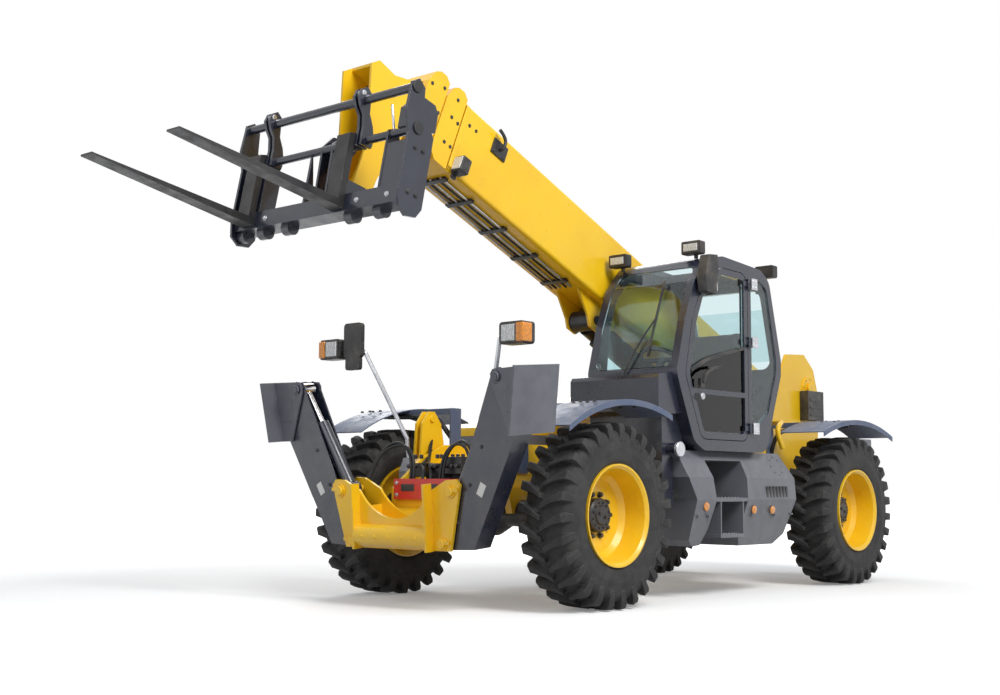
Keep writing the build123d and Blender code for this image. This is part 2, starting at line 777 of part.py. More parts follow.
def guide_solid(start, width, height):
    """Wear pad frame round a section's tail, sliding in the section outside it."""
    with BuildPart() as guide:
        with BuildSketch(boom_cross(start)):
            RectangleRounded(
                width + BOOM_STEP_WIDTH - 2 * BOOM_WALL - 2 * CLEAR,
                height + BOOM_STEP_HEIGHT - 2 * BOOM_WALL - 2 * CLEAR,
                18,
            )
            RectangleRounded(width - 2 * BOOM_WALL, height - 2 * BOOM_WALL, 18, mode=Mode.SUBTRACT)
        extrude(amount=GUIDE_LENGTH)
    return guide.part


def collar_solid(start, length, width, height):
    """Box ring round the end of a section, domed on top, open for the section that slides in it."""
    bottom, top = -OUTER_HALF_H - 18, OUTER_HALF_H + 20
    with BuildPart() as ring:
        with BuildSketch(boom_side()):
            with BuildLine():
                Polyline(
                    (start, bottom),
                    (start + length - 62, bottom + 4),
                    (start + length, bottom + 64),
                    (start + length, top - 90),
                    (start + length - 40, top + 8),
                    (start + length - 80, top + 34),
                    (start + 50, top + 38),
                    (start, top),
                    close=True,
                )
            make_face()
        extrude(amount=OUTER_HALF_W, both=True)
        with BuildSketch(boom_cross(start - 1)):
            RectangleRounded(width - 2 * BOOM_WALL, height - 2 * BOOM_WALL, 18)
        extrude(amount=length + 2, mode=Mode.SUBTRACT)
    return ring.part


# number of the section: start, end of its tube, start of its collar
COLLAR_2 = BOOM_OUTER_END + COLLAR_GAP
COLLAR_3 = COLLAR_2 + COLLAR_LENGTH + COLLAR_GAP
HEAD_S = COLLAR_3 + COLLAR_LENGTH + COLLAR_GAP
SECTION_START = 120.0
SECTION_STEP = 120.0
GUIDE_LENGTH = 140.0

with BuildPart() as boom_outer:
    add(tube_solid(BOOM_TAIL, BOOM_OUTER_END, BOOM_OUTER_WIDTH, BOOM_OUTER_HEIGHT))
    for sign, hand in SIDES:
        with BuildSketch(boom_side(sign * (OUTER_HALF_W - BOOM_WALL + TAIL_PLATE / 2))):
            with BuildLine():
                Polyline(
                    (BOOM_TAIL, OUTER_HALF_H - 60), (BOOM_TAIL, BOOM_PIVOT_RISE - 40),
                    (-110, BOOM_PIVOT_RISE + 30), (-60, BOOM_PIVOT_RISE + 100),
                    (60, BOOM_PIVOT_RISE + 100), (130, BOOM_PIVOT_RISE + 20), (620, OUTER_HALF_H),
                    (620, OUTER_HALF_H - 40), close=True,
                )
            make_face()
        extrude(amount=TAIL_PLATE / 2, both=True)
        with BuildSketch(boom_side(sign * (OUTER_HALF_W + RAIL_INNER_Y - 12 - 5) / 2)):
            with Locations((0, BOOM_PIVOT_RISE)):
                Circle(95)
        extrude(amount=(RAIL_INNER_Y - 12 - 5 - OUTER_HALF_W) / 2, both=True)
        # hanging bracket for the lift cylinder
        with BuildSketch(boom_side(sign * (LIFT_EYE_WIDTH / 2 + 3 + 10))):
            with BuildLine():
                Polyline(
                    (2450, -OUTER_HALF_H + 8), (2640, -OUTER_HALF_H - 60),
                    (LIFT_EYE_S - 90, LIFT_EYE_T - 40),
                    (LIFT_EYE_S - 50, LIFT_EYE_T - 85), (LIFT_EYE_S + 60, LIFT_EYE_T - 85),
                    (LIFT_EYE_S + 110, LIFT_EYE_T - 20), (3320, -OUTER_HALF_H + 8), close=True,
                )
            make_face()
            with Locations((LIFT_EYE_S, LIFT_EYE_T)):
                Circle(LIFT_PIN_DIAMETER / 2 + 0.05, mode=Mode.SUBTRACT)
        extrude(amount=10, both=True)
    with BuildSketch(boom_side()):
        with Locations((0, BOOM_PIVOT_RISE)):
            Circle(BOOM_PIVOT_DIAMETER / 2 + 0.05)
    extrude(amount=RAIL_Y, both=True, mode=Mode.SUBTRACT)
save(boom_outer, "boom_outer")

for number, collar_s in ((2, COLLAR_2), (3, COLLAR_3)):
    width = BOOM_OUTER_WIDTH - (number - 1) * BOOM_STEP_WIDTH
    height = BOOM_OUTER_HEIGHT - (number - 1) * BOOM_STEP_HEIGHT
    with BuildPart() as section:
        tail = SECTION_START + (number - 2) * SECTION_STEP
        add(tube_solid(tail, collar_s + 30, width, height))
        add(guide_solid(tail, width, height))
        add(collar_solid(collar_s, COLLAR_LENGTH, width, height))
    save(section, f"boom_section_{number}")

# innermost section with the head that carries the carriage
HEAD_HALF_W = 150.0
HEAD_PLATE = 18.0
TILT_BASE_S = HEAD_S - 11
TILT_BASE_T = -21.0
INNER_W = BOOM_OUTER_WIDTH - 3 * BOOM_STEP_WIDTH
INNER_H = BOOM_OUTER_HEIGHT - 3 * BOOM_STEP_HEIGHT
HEAD_OUTLINE = (
    (2642, 3660),
    (2900, 3663),
    (3044, 3735),
    (3120, 3700),
    (3150, 3150),
    (CARRIAGE_PIVOT_X + 75, CARRIAGE_PIVOT_Z + 50),
    (CARRIAGE_PIVOT_X + 75, CARRIAGE_PIVOT_Z - 40),
    (CARRIAGE_PIVOT_X + 20, CARRIAGE_PIVOT_Z - 85),
    (CARRIAGE_PIVOT_X - 50, CARRIAGE_PIVOT_Z - 75),
    (CARRIAGE_PIVOT_X - 160, 2900),
    (2900, 3130),
    (2798, 3280),
)
with BuildPart() as boom_inner:
    add(tube_solid(SECTION_START + 2 * SECTION_STEP, HEAD_S + 6, INNER_W, INNER_H))
    add(guide_solid(SECTION_START + 2 * SECTION_STEP, INNER_W, INNER_H))
    for sign, hand in SIDES:
        with BuildSketch(side(sign * (HEAD_HALF_W - HEAD_PLATE / 2))):
            with BuildLine():
                Polyline(*HEAD_OUTLINE, close=True)
            make_face()
            with Locations((CARRIAGE_PIVOT_X, CARRIAGE_PIVOT_Z)):
                Circle(CARRIAGE_PIVOT_DIAMETER / 2 + 0.05, mode=Mode.SUBTRACT)
        extrude(amount=HEAD_PLATE / 2, both=True)
    # webs over the top and down the back of the head
    with BuildSketch(side(0)):
        with BuildLine():
            Polyline(
                (2642, 3660), (2900, 3663), (3044, 3735), (3044, 3715), (2904, 3645), (2648, 3642),
                close=True,
            )
        make_face()
        with BuildLine():
            Polyline(
                (2798, 3280), (2900, 3130), (3060, 2900), (3076, 2911), (2916, 3141), (2812, 3294),
                close=True,
            )
        make_face()
    extrude(amount=HEAD_HALF_W, both=True)
save(boom_inner, "boom_inner")

# ================= lift cylinder =================
lift_eye = boom_to_side(LIFT_EYE_S, LIFT_EYE_T)
LIFT_LENGTH = hypot(lift_eye[0] - LIFT_FOOT_X, lift_eye[1] - LIFT_FOOT_Z)
LIFT_ANGLE = degrees(atan2(lift_eye[1] - LIFT_FOOT_Z, lift_eye[0] - LIFT_FOOT_X))
LIFT_MOUTH = LIFT_LENGTH - LIFT_BARREL_LENGTH


def cylinder_side(y=0.0):
    """Side view plane along the lift cylinder, from its foot on the chassis."""
    return tilted_side(LIFT_FOOT_X, LIFT_FOOT_Z, LIFT_ANGLE, y)


def cylinder_cross(along):
    return tilted_cross(LIFT_FOOT_X, LIFT_FOOT_Z, LIFT_ANGLE, along)


with BuildPart() as lift_barrel:
    with BuildSketch(cylinder_cross(LIFT_MOUTH)):
        Circle(LIFT_BARREL_DIAMETER / 2)
    extrude(amount=LIFT_BARREL_LENGTH - 60)
    with BuildSketch(cylinder_side()):
        with Locations((LIFT_LENGTH, 0)):
            Circle(LIFT_EYE_DIAMETER / 2)
    extrude(amount=LIFT_EYE_WIDTH / 2, both=True)
    with BuildSketch(cylinder_side()):
        with Locations((LIFT_LENGTH, 0)):
            Circle(LIFT_PIN_DIAMETER / 2)
    extrude(amount=LIFT_EYE_WIDTH / 2 + 3 + 20 + 12, both=True)
    with BuildSketch(cylinder_cross(LIFT_MOUTH)):
        Circle(LIFT_ROD_DIAMETER / 2 + CLEAR)
    extrude(amount=60, mode=Mode.SUBTRACT)
    with BuildSketch(cylinder_cross(LIFT_MOUTH + 60)):
        Circle(LIFT_BORE / 2)
    extrude(amount=LIFT_BARREL_LENGTH - 60 - 150, mode=Mode.SUBTRACT)
save(lift_barrel, "lift_barrel")

with BuildPart() as lift_rod:
    with BuildSketch(cylinder_cross(0)):
        Circle(LIFT_ROD_DIAMETER / 2)
    extrude(amount=LIFT_ROD_LENGTH)
    with BuildSketch(cylinder_side()):
        Circle(LIFT_EYE_DIAMETER / 2 - 10)
    extrude(amount=LIFT_FOOT_WIDTH / 2, both=True)
    with BuildSketch(cylinder_cross(LIFT_ROD_LENGTH - 60)):
        Circle(LIFT_BORE / 2 - CLEAR)
    extrude(amount=60)
save(lift_rod, "lift_rod")

# ================= carriage =================
BEAM_FRONT = -FORK_THICKNESS - CLEAR
TOP_BAR = (-30, 740)
MID_BAR = (-95, 480)
MID_BAR_DIAMETER = 56.0
LEAN = radians(CARRIAGE_ANGLE)
PIVOT_DX = CARRIAGE_PIVOT_X - HEEL_X
PIVOT_DZ = CARRIAGE_PIVOT_Z - HEEL_Z
# the pivot in the carriage's own directions, from the heel
PIVOT_AB = (
    PIVOT_DX * cos(LEAN) + PIVOT_DZ * sin(LEAN),
    PIVOT_DZ * cos(LEAN) - PIVOT_DX * sin(LEAN),
)
TILT_EYE_AB = (-230, 560)
END_PLATE = 20.0
END_OUTLINE = (
    (-240, -20), (-200, -85), (-110, -105), (-40, -60), (-20, 40), (-20, 430), (25, 560), (15, 760),
    (-40, 800),
    (-100, 760), (-120, 600), (-240, 470),
)
HANGER_Y = (362.0, 318.0, -556.0, -600.0)
ROLLER_Y = (-780.0, -560.0, -300.0, 330.0, 600.0)
HANGER_OUTLINE = (
    (-62, 800),
    (-20, 830),
    (22, 800),
    (36, 745),
    (10, 690),
    (-30, 640),
    (-46, 560),
    (-46, 440),
    (-140, 440),
    (-150, 500),
    (-120, 590),
    (-78, 660),
    (-70, 730),
)
with BuildPart() as carriage:
    for sign, hand in SIDES:
        with BuildSketch(carriage_side(sign * (CARRIAGE_HALF_WIDTH - END_PLATE / 2))):
            with BuildLine():
                Polyline(*END_OUTLINE, close=True)
            make_face()
        extrude(amount=END_PLATE / 2, both=True)
        # panel beside each end plate and the rib that closes it
        with BuildSketch(carriage_side(sign * (CARRIAGE_HALF_WIDTH - 125))):
            with BuildLine():
                Polyline(
                    (-85, 90), (BEAM_FRONT - 10, 90), (BEAM_FRONT - 10, 405), (-85, 405),
                    close=True,
                )
            make_face()
        extrude(amount=120, both=True)
        with BuildSketch(carriage_side(sign * (CARRIAGE_HALF_WIDTH - 240))):
            with BuildLine():
                Polyline(
                    (-190, 90), (BEAM_FRONT - 6, 90), (BEAM_FRONT - 6, 500), (-140, 540),
                    (-190, 400), close=True,
                )
            make_face()
        extrude(amount=8, both=True)
        # lugs outside the head for the pivot pin
        with BuildSketch(carriage_side(sign * (HEAD_HALF_W + 5 + 10))):
            with BuildLine():
                Polyline(
                    (-140, 260), (PIVOT_AB[0] - 20, PIVOT_AB[1] + 80),
                    (PIVOT_AB[0] - 75, PIVOT_AB[1] + 20), (PIVOT_AB[0] - 60, PIVOT_AB[1] - 50),
                    (-200, -10), (-90, -10), (-90, 480), close=True,
                )
            make_face()
        extrude(amount=10, both=True)
        # inner lugs for the tilt cylinder's rod
        with BuildSketch(carriage_side(sign * (40 + 12))):
            with BuildLine():
                Polyline(
                    (TILT_EYE_AB[0] - 55, TILT_EYE_AB[1] - 20),
                    (TILT_EYE_AB[0] - 20, TILT_EYE_AB[1] + 55), (-150, 600),
                    (-75, 500), (-90, 80), (-150, 80), (-170, 330), close=True,
                )
            make_face()
        extrude(amount=9, both=True)
    # hooked hangers between the two bars
    for hanger_y in HANGER_Y:
        with BuildSketch(carriage_side(hanger_y)):
            with BuildLine():
                Polyline(*HANGER_OUTLINE, close=True)
            make_face()
        extrude(amount=11, both=True)
    # rollers under the beam
    for roller_y in ROLLER_Y:
        with BuildSketch(carriage_side(roller_y)):
            with Locations((BEAM_FRONT - 70, -34)):
                Circle(50)
        extrude(amount=36, both=True)
    # lock box behind the left end plate
    with BuildSketch(carriage_side(CARRIAGE_HALF_WIDTH - 80)):
        with BuildLine():
            Polyline(
                (-120, 470), (-60, 500), (-60, 640), (-110, 700), (-215, 690), (-250, 640),
                (-250, 510), close=True,
            )
        make_face()
    extrude(amount=75, both=True)
    with BuildSketch(carriage_side()):
        with BuildLine():
            Polyline(
                (BEAM_FRONT - 140, -20), (BEAM_FRONT, -20), (BEAM_FRONT, 100),
                (BEAM_FRONT - 140, 100), close=True,
            )
        make_face()
        with Locations(TOP_BAR):
            Circle(30)
        with Locations(MID_BAR):
            Circle(MID_BAR_DIAMETER / 2)
    extrude(amount=CARRIAGE_HALF_WIDTH - 1, both=True)
    with BuildSketch(carriage_side()):
        with Locations(PIVOT_AB):
            Circle(CARRIAGE_PIVOT_DIAMETER / 2)
    extrude(amount=HEAD_HALF_W + 35, both=True)
save(carriage, "carriage")

for fork_y, hand in ((FORK_LEFT_Y, "left"), (FORK_RIGHT_Y, "right")):
    with BuildPart() as fork:
        with BuildSketch(carriage_side(fork_y)):
            with BuildLine():
                Polyline(
                    (-FORK_THICKNESS, 0), (FORK_LENGTH, 0), (FORK_LENGTH, 12), (0, FORK_THICKNESS),
                    (0, MID_BAR[1] + 30),
                    (-FORK_THICKNESS, MID_BAR[1] + 50), close=True,
                )
            make_face()
            with Locations(MID_BAR):
                Circle(MID_BAR_DIAMETER / 2 + 24)
            with Locations(MID_BAR):
                Circle(MID_BAR_DIAMETER / 2 + CLEAR, mode=Mode.SUBTRACT)
        extrude(amount=FORK_WIDTH / 2, both=True)
    save(fork, f"fork_{hand}")

# ================= tilt cylinder =================
TILT_BARREL_DIAMETER = 110.0
TILT_ROD_DIAMETER = 55.0
TILT_BARREL_LENGTH = 440.0
tilt_base = boom_to_side(TILT_BASE_S, TILT_BASE_T)
tilt_eye = carriage_point(*TILT_EYE_AB)
TILT_LENGTH = hypot(tilt_eye[0] - tilt_base[0], tilt_eye[1] - tilt_base[1])
TILT_ANGLE = degrees(atan2(tilt_eye[1] - tilt_base[1], tilt_eye[0] - tilt_base[0]))
with BuildPart() as tilt_barrel:
    with BuildSketch(tilted_cross(*tilt_base, TILT_ANGLE, 30)):
        Circle(TILT_BARREL_DIAMETER / 2)
    extrude(amount=TILT_BARREL_LENGTH - 30)
    with BuildSketch(tilted_side(*tilt_base, TILT_ANGLE)):
        Circle(58)
    extrude(amount=36, both=True)
    with BuildSketch(tilted_side(*tilt_base, TILT_ANGLE)):
        Circle(25)
    extrude(amount=INNER_W / 2 - BOOM_WALL - CLEAR, both=True)
    with BuildSketch(tilted_cross(*tilt_base, TILT_ANGLE, 90)):
        Circle(TILT_ROD_DIAMETER / 2 + CLEAR)
    extrude(amount=TILT_BARREL_LENGTH, mode=Mode.SUBTRACT)
save(tilt_barrel, "tilt_barrel")

with BuildPart() as tilt_rod:
    with BuildSketch(tilted_cross(*tilt_base, TILT_ANGLE, 170)):
        Circle(TILT_ROD_DIAMETER / 2)
    extrude(amount=TILT_LENGTH - 170)
    with BuildSketch(tilted_side(*tilt_base, TILT_ANGLE)):
        with Locations((TILT_LENGTH, 0)):
            Circle(46)
    extrude(amount=38, both=True)
save(tilt_rod, "tilt_rod")

# ================= cab =================
CAB_MID_Y = (CAB_INNER_Y + CAB_OUTER_Y) / 2
CAB_HALF_Y = (CAB_OUTER_Y - CAB_INNER_Y) / 2
SCREEN_HALF_Y = CAB_HALF_Y - 65
REAR_PANE_HALF_Y = CAB_HALF_Y - 80
CAB_OUTLINE = (
    (885, 1690), (830, 1560), (660, 1180), (520, CAB_BOTTOM_Z), (-400, CAB_BOTTOM_Z), (-510, 1430),
    (-640, 1750), (-645, 1875), (-470, 2520),
    (-340, 2600), (230, 2640), (440, 2605), (640, 2400), (770, 2090),
)
CAB_INSIDE = (
    (822, 1690), (640, 1240), (620, CAB_FLOOR_Z), (-360, CAB_FLOOR_Z), (-455, 1430), (-588, 1755),
    (-592, 1868), (-425, 2490),
    (-325, 2552), (225, 2592), (425, 2556), (590, 2380), (715, 2075),
)
DOOR_HINGE_X = -130.0
HINGE_HEIGHTS = (1300.0, 1990.0, 2460.0)
HINGE_LEAF = 8.0
HINGE_RADIUS = 13.0
HINGE_PIN_RADIUS = 6.0
HINGE_AXIS_X = DOOR_HINGE_X
HINGE_AXIS_Y = CAB_OUTER_Y + HINGE_RADIUS + 0.5
DOOR_OPENING = (
    (DOOR_HINGE_X, 1195), (560, 1195), (770, 1680), (680, 2080), (548, 2370), (400, 2520),
    (220, 2550), (DOOR_HINGE_X, 2540),
)
REAR_QUARTER = (
    (-180, 1260), (-180, 2525), (-330, 2500), (-425, 2450), (-565, 1880), (-560, 1765),
    (-430, 1430),
)
RIGHT_WINDOW = (
    (-400, 1560), (600, 1560), (690, 1700), (650, 2075), (535, 2340), (395, 2490), (-330, 2490),
    (-500, 1860),
)


def rounded(points, radius):
    """Face of an outline whose corners are rounded."""
    with BuildSketch() as face:
        with BuildLine():
            Polyline(*points, close=True)
        make_face()
        fillet(face.vertices(), radius)
    return face.sketch


def shrink(points, radius, gap):
    """The rounded outline, offset inwards by a gap."""
    with BuildSketch() as loose:
        with BuildLine():
            Polyline(*points, close=True)
        make_face()
        offset(amount=-gap, kind=Kind.INTERSECTION, mode=Mode.REPLACE)
        fillet(loose.vertices(), radius - gap)
    return loose.sketch


CAB_CORNER = 150.0
CAB_INNER_CORNER = 80.0
DOOR_CORNER = 110.0
WINDOW_CORNER = 70.0
SCREEN_MIDDLE_Z = 2130.0
SCREEN_HEIGHT = 800.0
REAR_PANE_HEIGHT = 640.0
with BuildPart() as cab_frame:
    with BuildSketch(side(CAB_MID_Y)):
        add(rounded(CAB_OUTLINE, CAB_CORNER))
    extrude(amount=CAB_HALF_Y, both=True)
    with BuildSketch(side(CAB_MID_Y)):
        add(rounded(CAB_INSIDE, CAB_INNER_CORNER))
    extrude(amount=CAB_HALF_Y - CAB_WALL, both=True, mode=Mode.SUBTRACT)
    # door opening and rear quarter window, left
    with BuildSketch(side(CAB_OUTER_Y - CAB_WALL / 2)):
        add(rounded(DOOR_OPENING, DOOR_CORNER))
        add(rounded(REAR_QUARTER, WINDOW_CORNER))
    extrude(amount=CAB_WALL, both=True, mode=Mode.SUBTRACT)
    with BuildSketch(side(CAB_INNER_Y + CAB_WALL / 2)):
        add(rounded(RIGHT_WINDOW, WINDOW_CORNER))
    extrude(amount=CAB_WALL, both=True, mode=Mode.SUBTRACT)
    # windscreen, rear window and roof window
    with BuildSketch(front(0)):
        with Locations((CAB_MID_Y, SCREEN_MIDDLE_Z)):
            RectangleRounded(2 * SCREEN_HALF_Y, SCREEN_HEIGHT, WINDOW_CORNER)
    extrude(amount=1000, mode=Mode.SUBTRACT)
    with BuildSketch(front(-300)):
        with Locations((CAB_MID_Y, SCREEN_MIDDLE_Z)):
            RectangleRounded(2 * REAR_PANE_HALF_Y, REAR_PANE_HEIGHT, WINDOW_CORNER)
    extrude(amount=-400, mode=Mode.SUBTRACT)
    with BuildSketch(deck(2500)):
        with Locations((60, CAB_MID_Y)):
            Rectangle(460, 2 * CAB_HALF_Y - 200)
    extrude(amount=300, mode=Mode.SUBTRACT)
    # hinge leaves and pins on the door's rear post
    for hinge_z in HINGE_HEIGHTS:
        with BuildSketch(side(CAB_OUTER_Y)):
            with Locations((DOOR_HINGE_X - 50, hinge_z)):
                Rectangle(70, 80)
        extrude(amount=-HINGE_LEAF)
        for sleeve_z in (hinge_z - 40, hinge_z + 22):
            with BuildSketch(deck(sleeve_z)):
                with Locations((HINGE_AXIS_X, HINGE_AXIS_Y)):
                    Circle(HINGE_RADIUS)
                with Locations((HINGE_AXIS_X - 20, CAB_OUTER_Y + HINGE_LEAF / 2)):
                    Rectangle(40, HINGE_LEAF)
            extrude(amount=18)
        with BuildSketch(deck(hinge_z - 40)):
            with Locations((HINGE_AXIS_X, HINGE_AXIS_Y)):
                Circle(HINGE_PIN_RADIUS)
        extrude(amount=80)
save(cab_frame, "cab_frame")

# fixed panes: windscreen, right side, rear, rear quarter and roof
with BuildPart() as cab_glass:
    with BuildSketch(side(CAB_MID_Y)):
        with BuildLine():
            Polyline(
                (872, 1735), (764, 2090), (634, 2398), (510, 2529),
                (504, 2523), (627, 2394), (756, 2087), (864, 1732), close=True,
            )
        make_face()
    extrude(amount=SCREEN_HALF_Y - CLEAR, both=True)
    with BuildSketch(front(0)):
        with Locations((CAB_MID_Y, SCREEN_MIDDLE_Z)):
            RectangleRounded(
                2 * (SCREEN_HALF_Y - CLEAR), SCREEN_HEIGHT - 2 * CLEAR, WINDOW_CORNER - CLEAR
            )
    extrude(amount=1000, mode=Mode.INTERSECT)
    with BuildSketch(side(CAB_MID_Y)):
        with BuildLine():
            Polyline((-640, 1880), (-530, 2300), (-522, 2298), (-632, 1878), close=True)
        make_face()
    extrude(amount=REAR_PANE_HALF_Y - CLEAR, both=True)
    with BuildSketch(side(CAB_INNER_Y + 14)):
        add(shrink(RIGHT_WINDOW, WINDOW_CORNER, CLEAR))
    extrude(amount=GLASS / 2, both=True)
    with BuildSketch(side(CAB_OUTER_Y - 14)):
        add(shrink(REAR_QUARTER, WINDOW_CORNER, CLEAR))
    extrude(amount=GLASS / 2, both=True)
save(cab_glass, "cab_glass")

DOOR_GAP = 6.0
DOOR_FRAME = 52.0
with BuildPart() as cab_door:
    with BuildSketch(side(CAB_OUTER_Y - CAB_WALL / 2)):
        add(shrink(DOOR_OPENING, DOOR_CORNER, DOOR_GAP))
        add(shrink(DOOR_OPENING, DOOR_CORNER, DOOR_GAP + DOOR_FRAME), mode=Mode.SUBTRACT)
        with Locations((300, 1560)):
            Rectangle(960, 40)
        add(shrink(DOOR_OPENING, DOOR_CORNER, DOOR_GAP), mode=Mode.INTERSECT)
    extrude(amount=CAB_WALL / 2, both=True)
    for hinge_z in HINGE_HEIGHTS:
        with BuildSketch(side(CAB_OUTER_Y)):
            with Locations((DOOR_HINGE_X + 40, hinge_z)):
                Rectangle(60, 40)
        extrude(amount=-HINGE_LEAF)
        with BuildSketch(deck(hinge_z - 22 + CLEAR)):
            with Locations((HINGE_AXIS_X, HINGE_AXIS_Y)):
                Circle(HINGE_RADIUS)
            with Locations((HINGE_AXIS_X + 20, CAB_OUTER_Y + HINGE_LEAF / 2)):
                Rectangle(40, HINGE_LEAF)
            with Locations((HINGE_AXIS_X, HINGE_AXIS_Y)):
                Circle(HINGE_PIN_RADIUS + 0.05, mode=Mode.SUBTRACT)
        extrude(amount=44 - 2 * CLEAR)
save(cab_door, "cab_door")

with BuildPart() as door_glass:
    with BuildSketch(side(CAB_OUTER_Y - CAB_WALL / 2)):
        add(shrink(DOOR_OPENING, DOOR_CORNER, DOOR_GAP + DOOR_FRAME + CLEAR))
        with Locations((300, 1560)):
            Rectangle(1200, 40 + 2 * CLEAR, mode=Mode.SUBTRACT)
    extrude(amount=GLASS / 2, both=True)
save(door_glass, "door_glass")

with BuildPart() as seat:
    with BuildSketch(side(CAB_MID_Y)):
        with BuildLine():
            Polyline(
                (-330, 1480), (150, 1530), (170, 1620), (-190, 1600), (-290, 2110), (-390, 2100),
                (-380, 1560), close=True,
            )
        make_face()
    extrude(amount=240, both=True)
    with BuildSketch(deck(CAB_FLOOR_Z + CLEAR)):
        with Locations((-60, CAB_MID_Y)):
            Rectangle(330, 300)
    extrude(amount=340)
save(seat, "seat")

STEERING_RADIUS = 185.0
with BuildPart() as console:
    with BuildSketch(side(CAB_MID_Y)):
        with BuildLine():
            Polyline(
                (540, CAB_FLOOR_Z + CLEAR),
                (775, 1640),
                (790, 1690),
                (640, 1760),
                (560, 1700),
                (520, 1640),
                (460, CAB_FLOOR_Z + CLEAR),
                close=True,
            )
        make_face()
    extrude(amount=200, both=True)
    # steering column and wheel
    column = tilted_cross(540, 1690, 118)
    column_foot = column.origin + Vector(0, CAB_MID_Y, 0)
    rim_middle = column_foot + column.z_dir * 140
    with BuildSketch(Plane(origin=column_foot, x_dir=(0, 1, 0), z_dir=column.z_dir)):
        Circle(30)
    extrude(amount=150)
    with BuildSketch(Plane(origin=rim_middle, x_dir=(0, 1, 0), z_dir=column.z_dir)):
        Circle(STEERING_RADIUS)
        Circle(STEERING_RADIUS - 30, mode=Mode.SUBTRACT)
        Rectangle(2 * STEERING_RADIUS - 40, 34)
    extrude(amount=26)
save(console, "console")

# dark casing ahead of the windscreen
COWL_RIGHT_Y = 225.0
COWL_LEFT_Y = 1050.0
COWL_WALL_Y = 1000.0
with BuildPart() as cab_cowl:
    with BuildSketch(side((COWL_LEFT_Y + COWL_RIGHT_Y) / 2)):
        with BuildLine():
            Polyline(
                (885 + 2 * CLEAR, 1690),
                (830 + 2 * CLEAR, 1560),
                (752 + 2 * CLEAR, 1386),
                (1000, 1372),
                (1050, 1400),
                (1050, 1640),
                (1030, 1668),
                close=True,
            )
        make_face()
    extrude(amount=(COWL_LEFT_Y - COWL_RIGHT_Y) / 2, both=True)
    with BuildSketch(side((COWL_WALL_Y + RAIL_FACE_Y) / 2)):
        with BuildLine():
            Polyline(
                (755 + 2 * CLEAR, 1390),
                (660 + 2 * CLEAR, 1180),
                (650, PANEL_TOP_Z + 4 * CLEAR),
                (800, PANEL_TOP_Z + 4 * CLEAR),
                (800, 700),
                (900, 700),
                (940, 800),
                (940, 1390),
                close=True,
            )
        make_face()
    extrude(amount=(COWL_WALL_Y - RAIL_FACE_Y) / 2, both=True)
    # neck of the tank and its round cap
    with BuildSketch(side(COWL_WALL_Y - 1)):
        with Locations((850, 1115)):
            Circle(48)
    extrude(amount=-86)
save(cab_cowl, "cab_cowl")

# work lamps on the cab's roof: X, Y and Z of the lamp
ROOF_LAMPS = (
    (450.0, 970.0, 2690.0),
    (540.0, 330.0, 2640.0),
    (-640.0, 975.0, 2630.0),
)
# posts of the two front lamps: X, Y, Z of the foot
LAMP_POSTS = (
    (410.0, 970.0, 2613.3),
    (500.0, 330.0, 2561.0),
)
LAMP_POST_LENGTH = 90.0
with BuildPart() as work_lamps:
    for lamp_x, lamp_y, lamp_z in ROOF_LAMPS:
        with BuildSketch(front(lamp_x - 35)):
            with Locations((lamp_y, lamp_z)):
                RectangleRounded(175, 105, 16)
        extrude(amount=70)
    for post_x, post_y, foot_z in LAMP_POSTS:
        with BuildSketch(deck(foot_z)):
            with Locations((post_x, post_y)):
                Circle(16)
        extrude(amount=LAMP_POST_LENGTH)
    # bracket that carries the rear lamp off the back of the roof
    with BuildSketch(side(ROOF_LAMPS[2][1])):
        with BuildLine():
            Polyline(
                (-600, 2610),
                (-480, 2545),
                (-484.5, 2470),
                (-487.9, 2455),
                (-494.7, 2430),
                (-520, 2440),
                (-620, 2585),
                close=True,
            )
        make_face()
    extrude(amount=20, both=True)
save(work_lamps, "work_lamps")

# mirror on a short arm at the front upper corner of the door
MIRROR_Y = 1165.0
MIRROR_HALF_DEPTH = 42.0
with BuildPart() as cab_mirror:
    with BuildSketch(side(MIRROR_Y)):
        with BuildLine():
            Polyline(
                (500, 2300), (620, 2310), (640, 2420), (590, 2600), (470, 2610), (455, 2480),
                close=True,
            )
        make_face()
    extrude(amount=MIRROR_HALF_DEPTH, both=True)
    with BuildSketch(side((CAB_OUTER_Y + CLEAR + MIRROR_Y) / 2)):
        with Locations((481, 2392)):
            Rectangle(30, 24)
    extrude(amount=(MIRROR_Y - CAB_OUTER_Y - CLEAR) / 2, both=True)
save(cab_mirror, "cab_mirror")

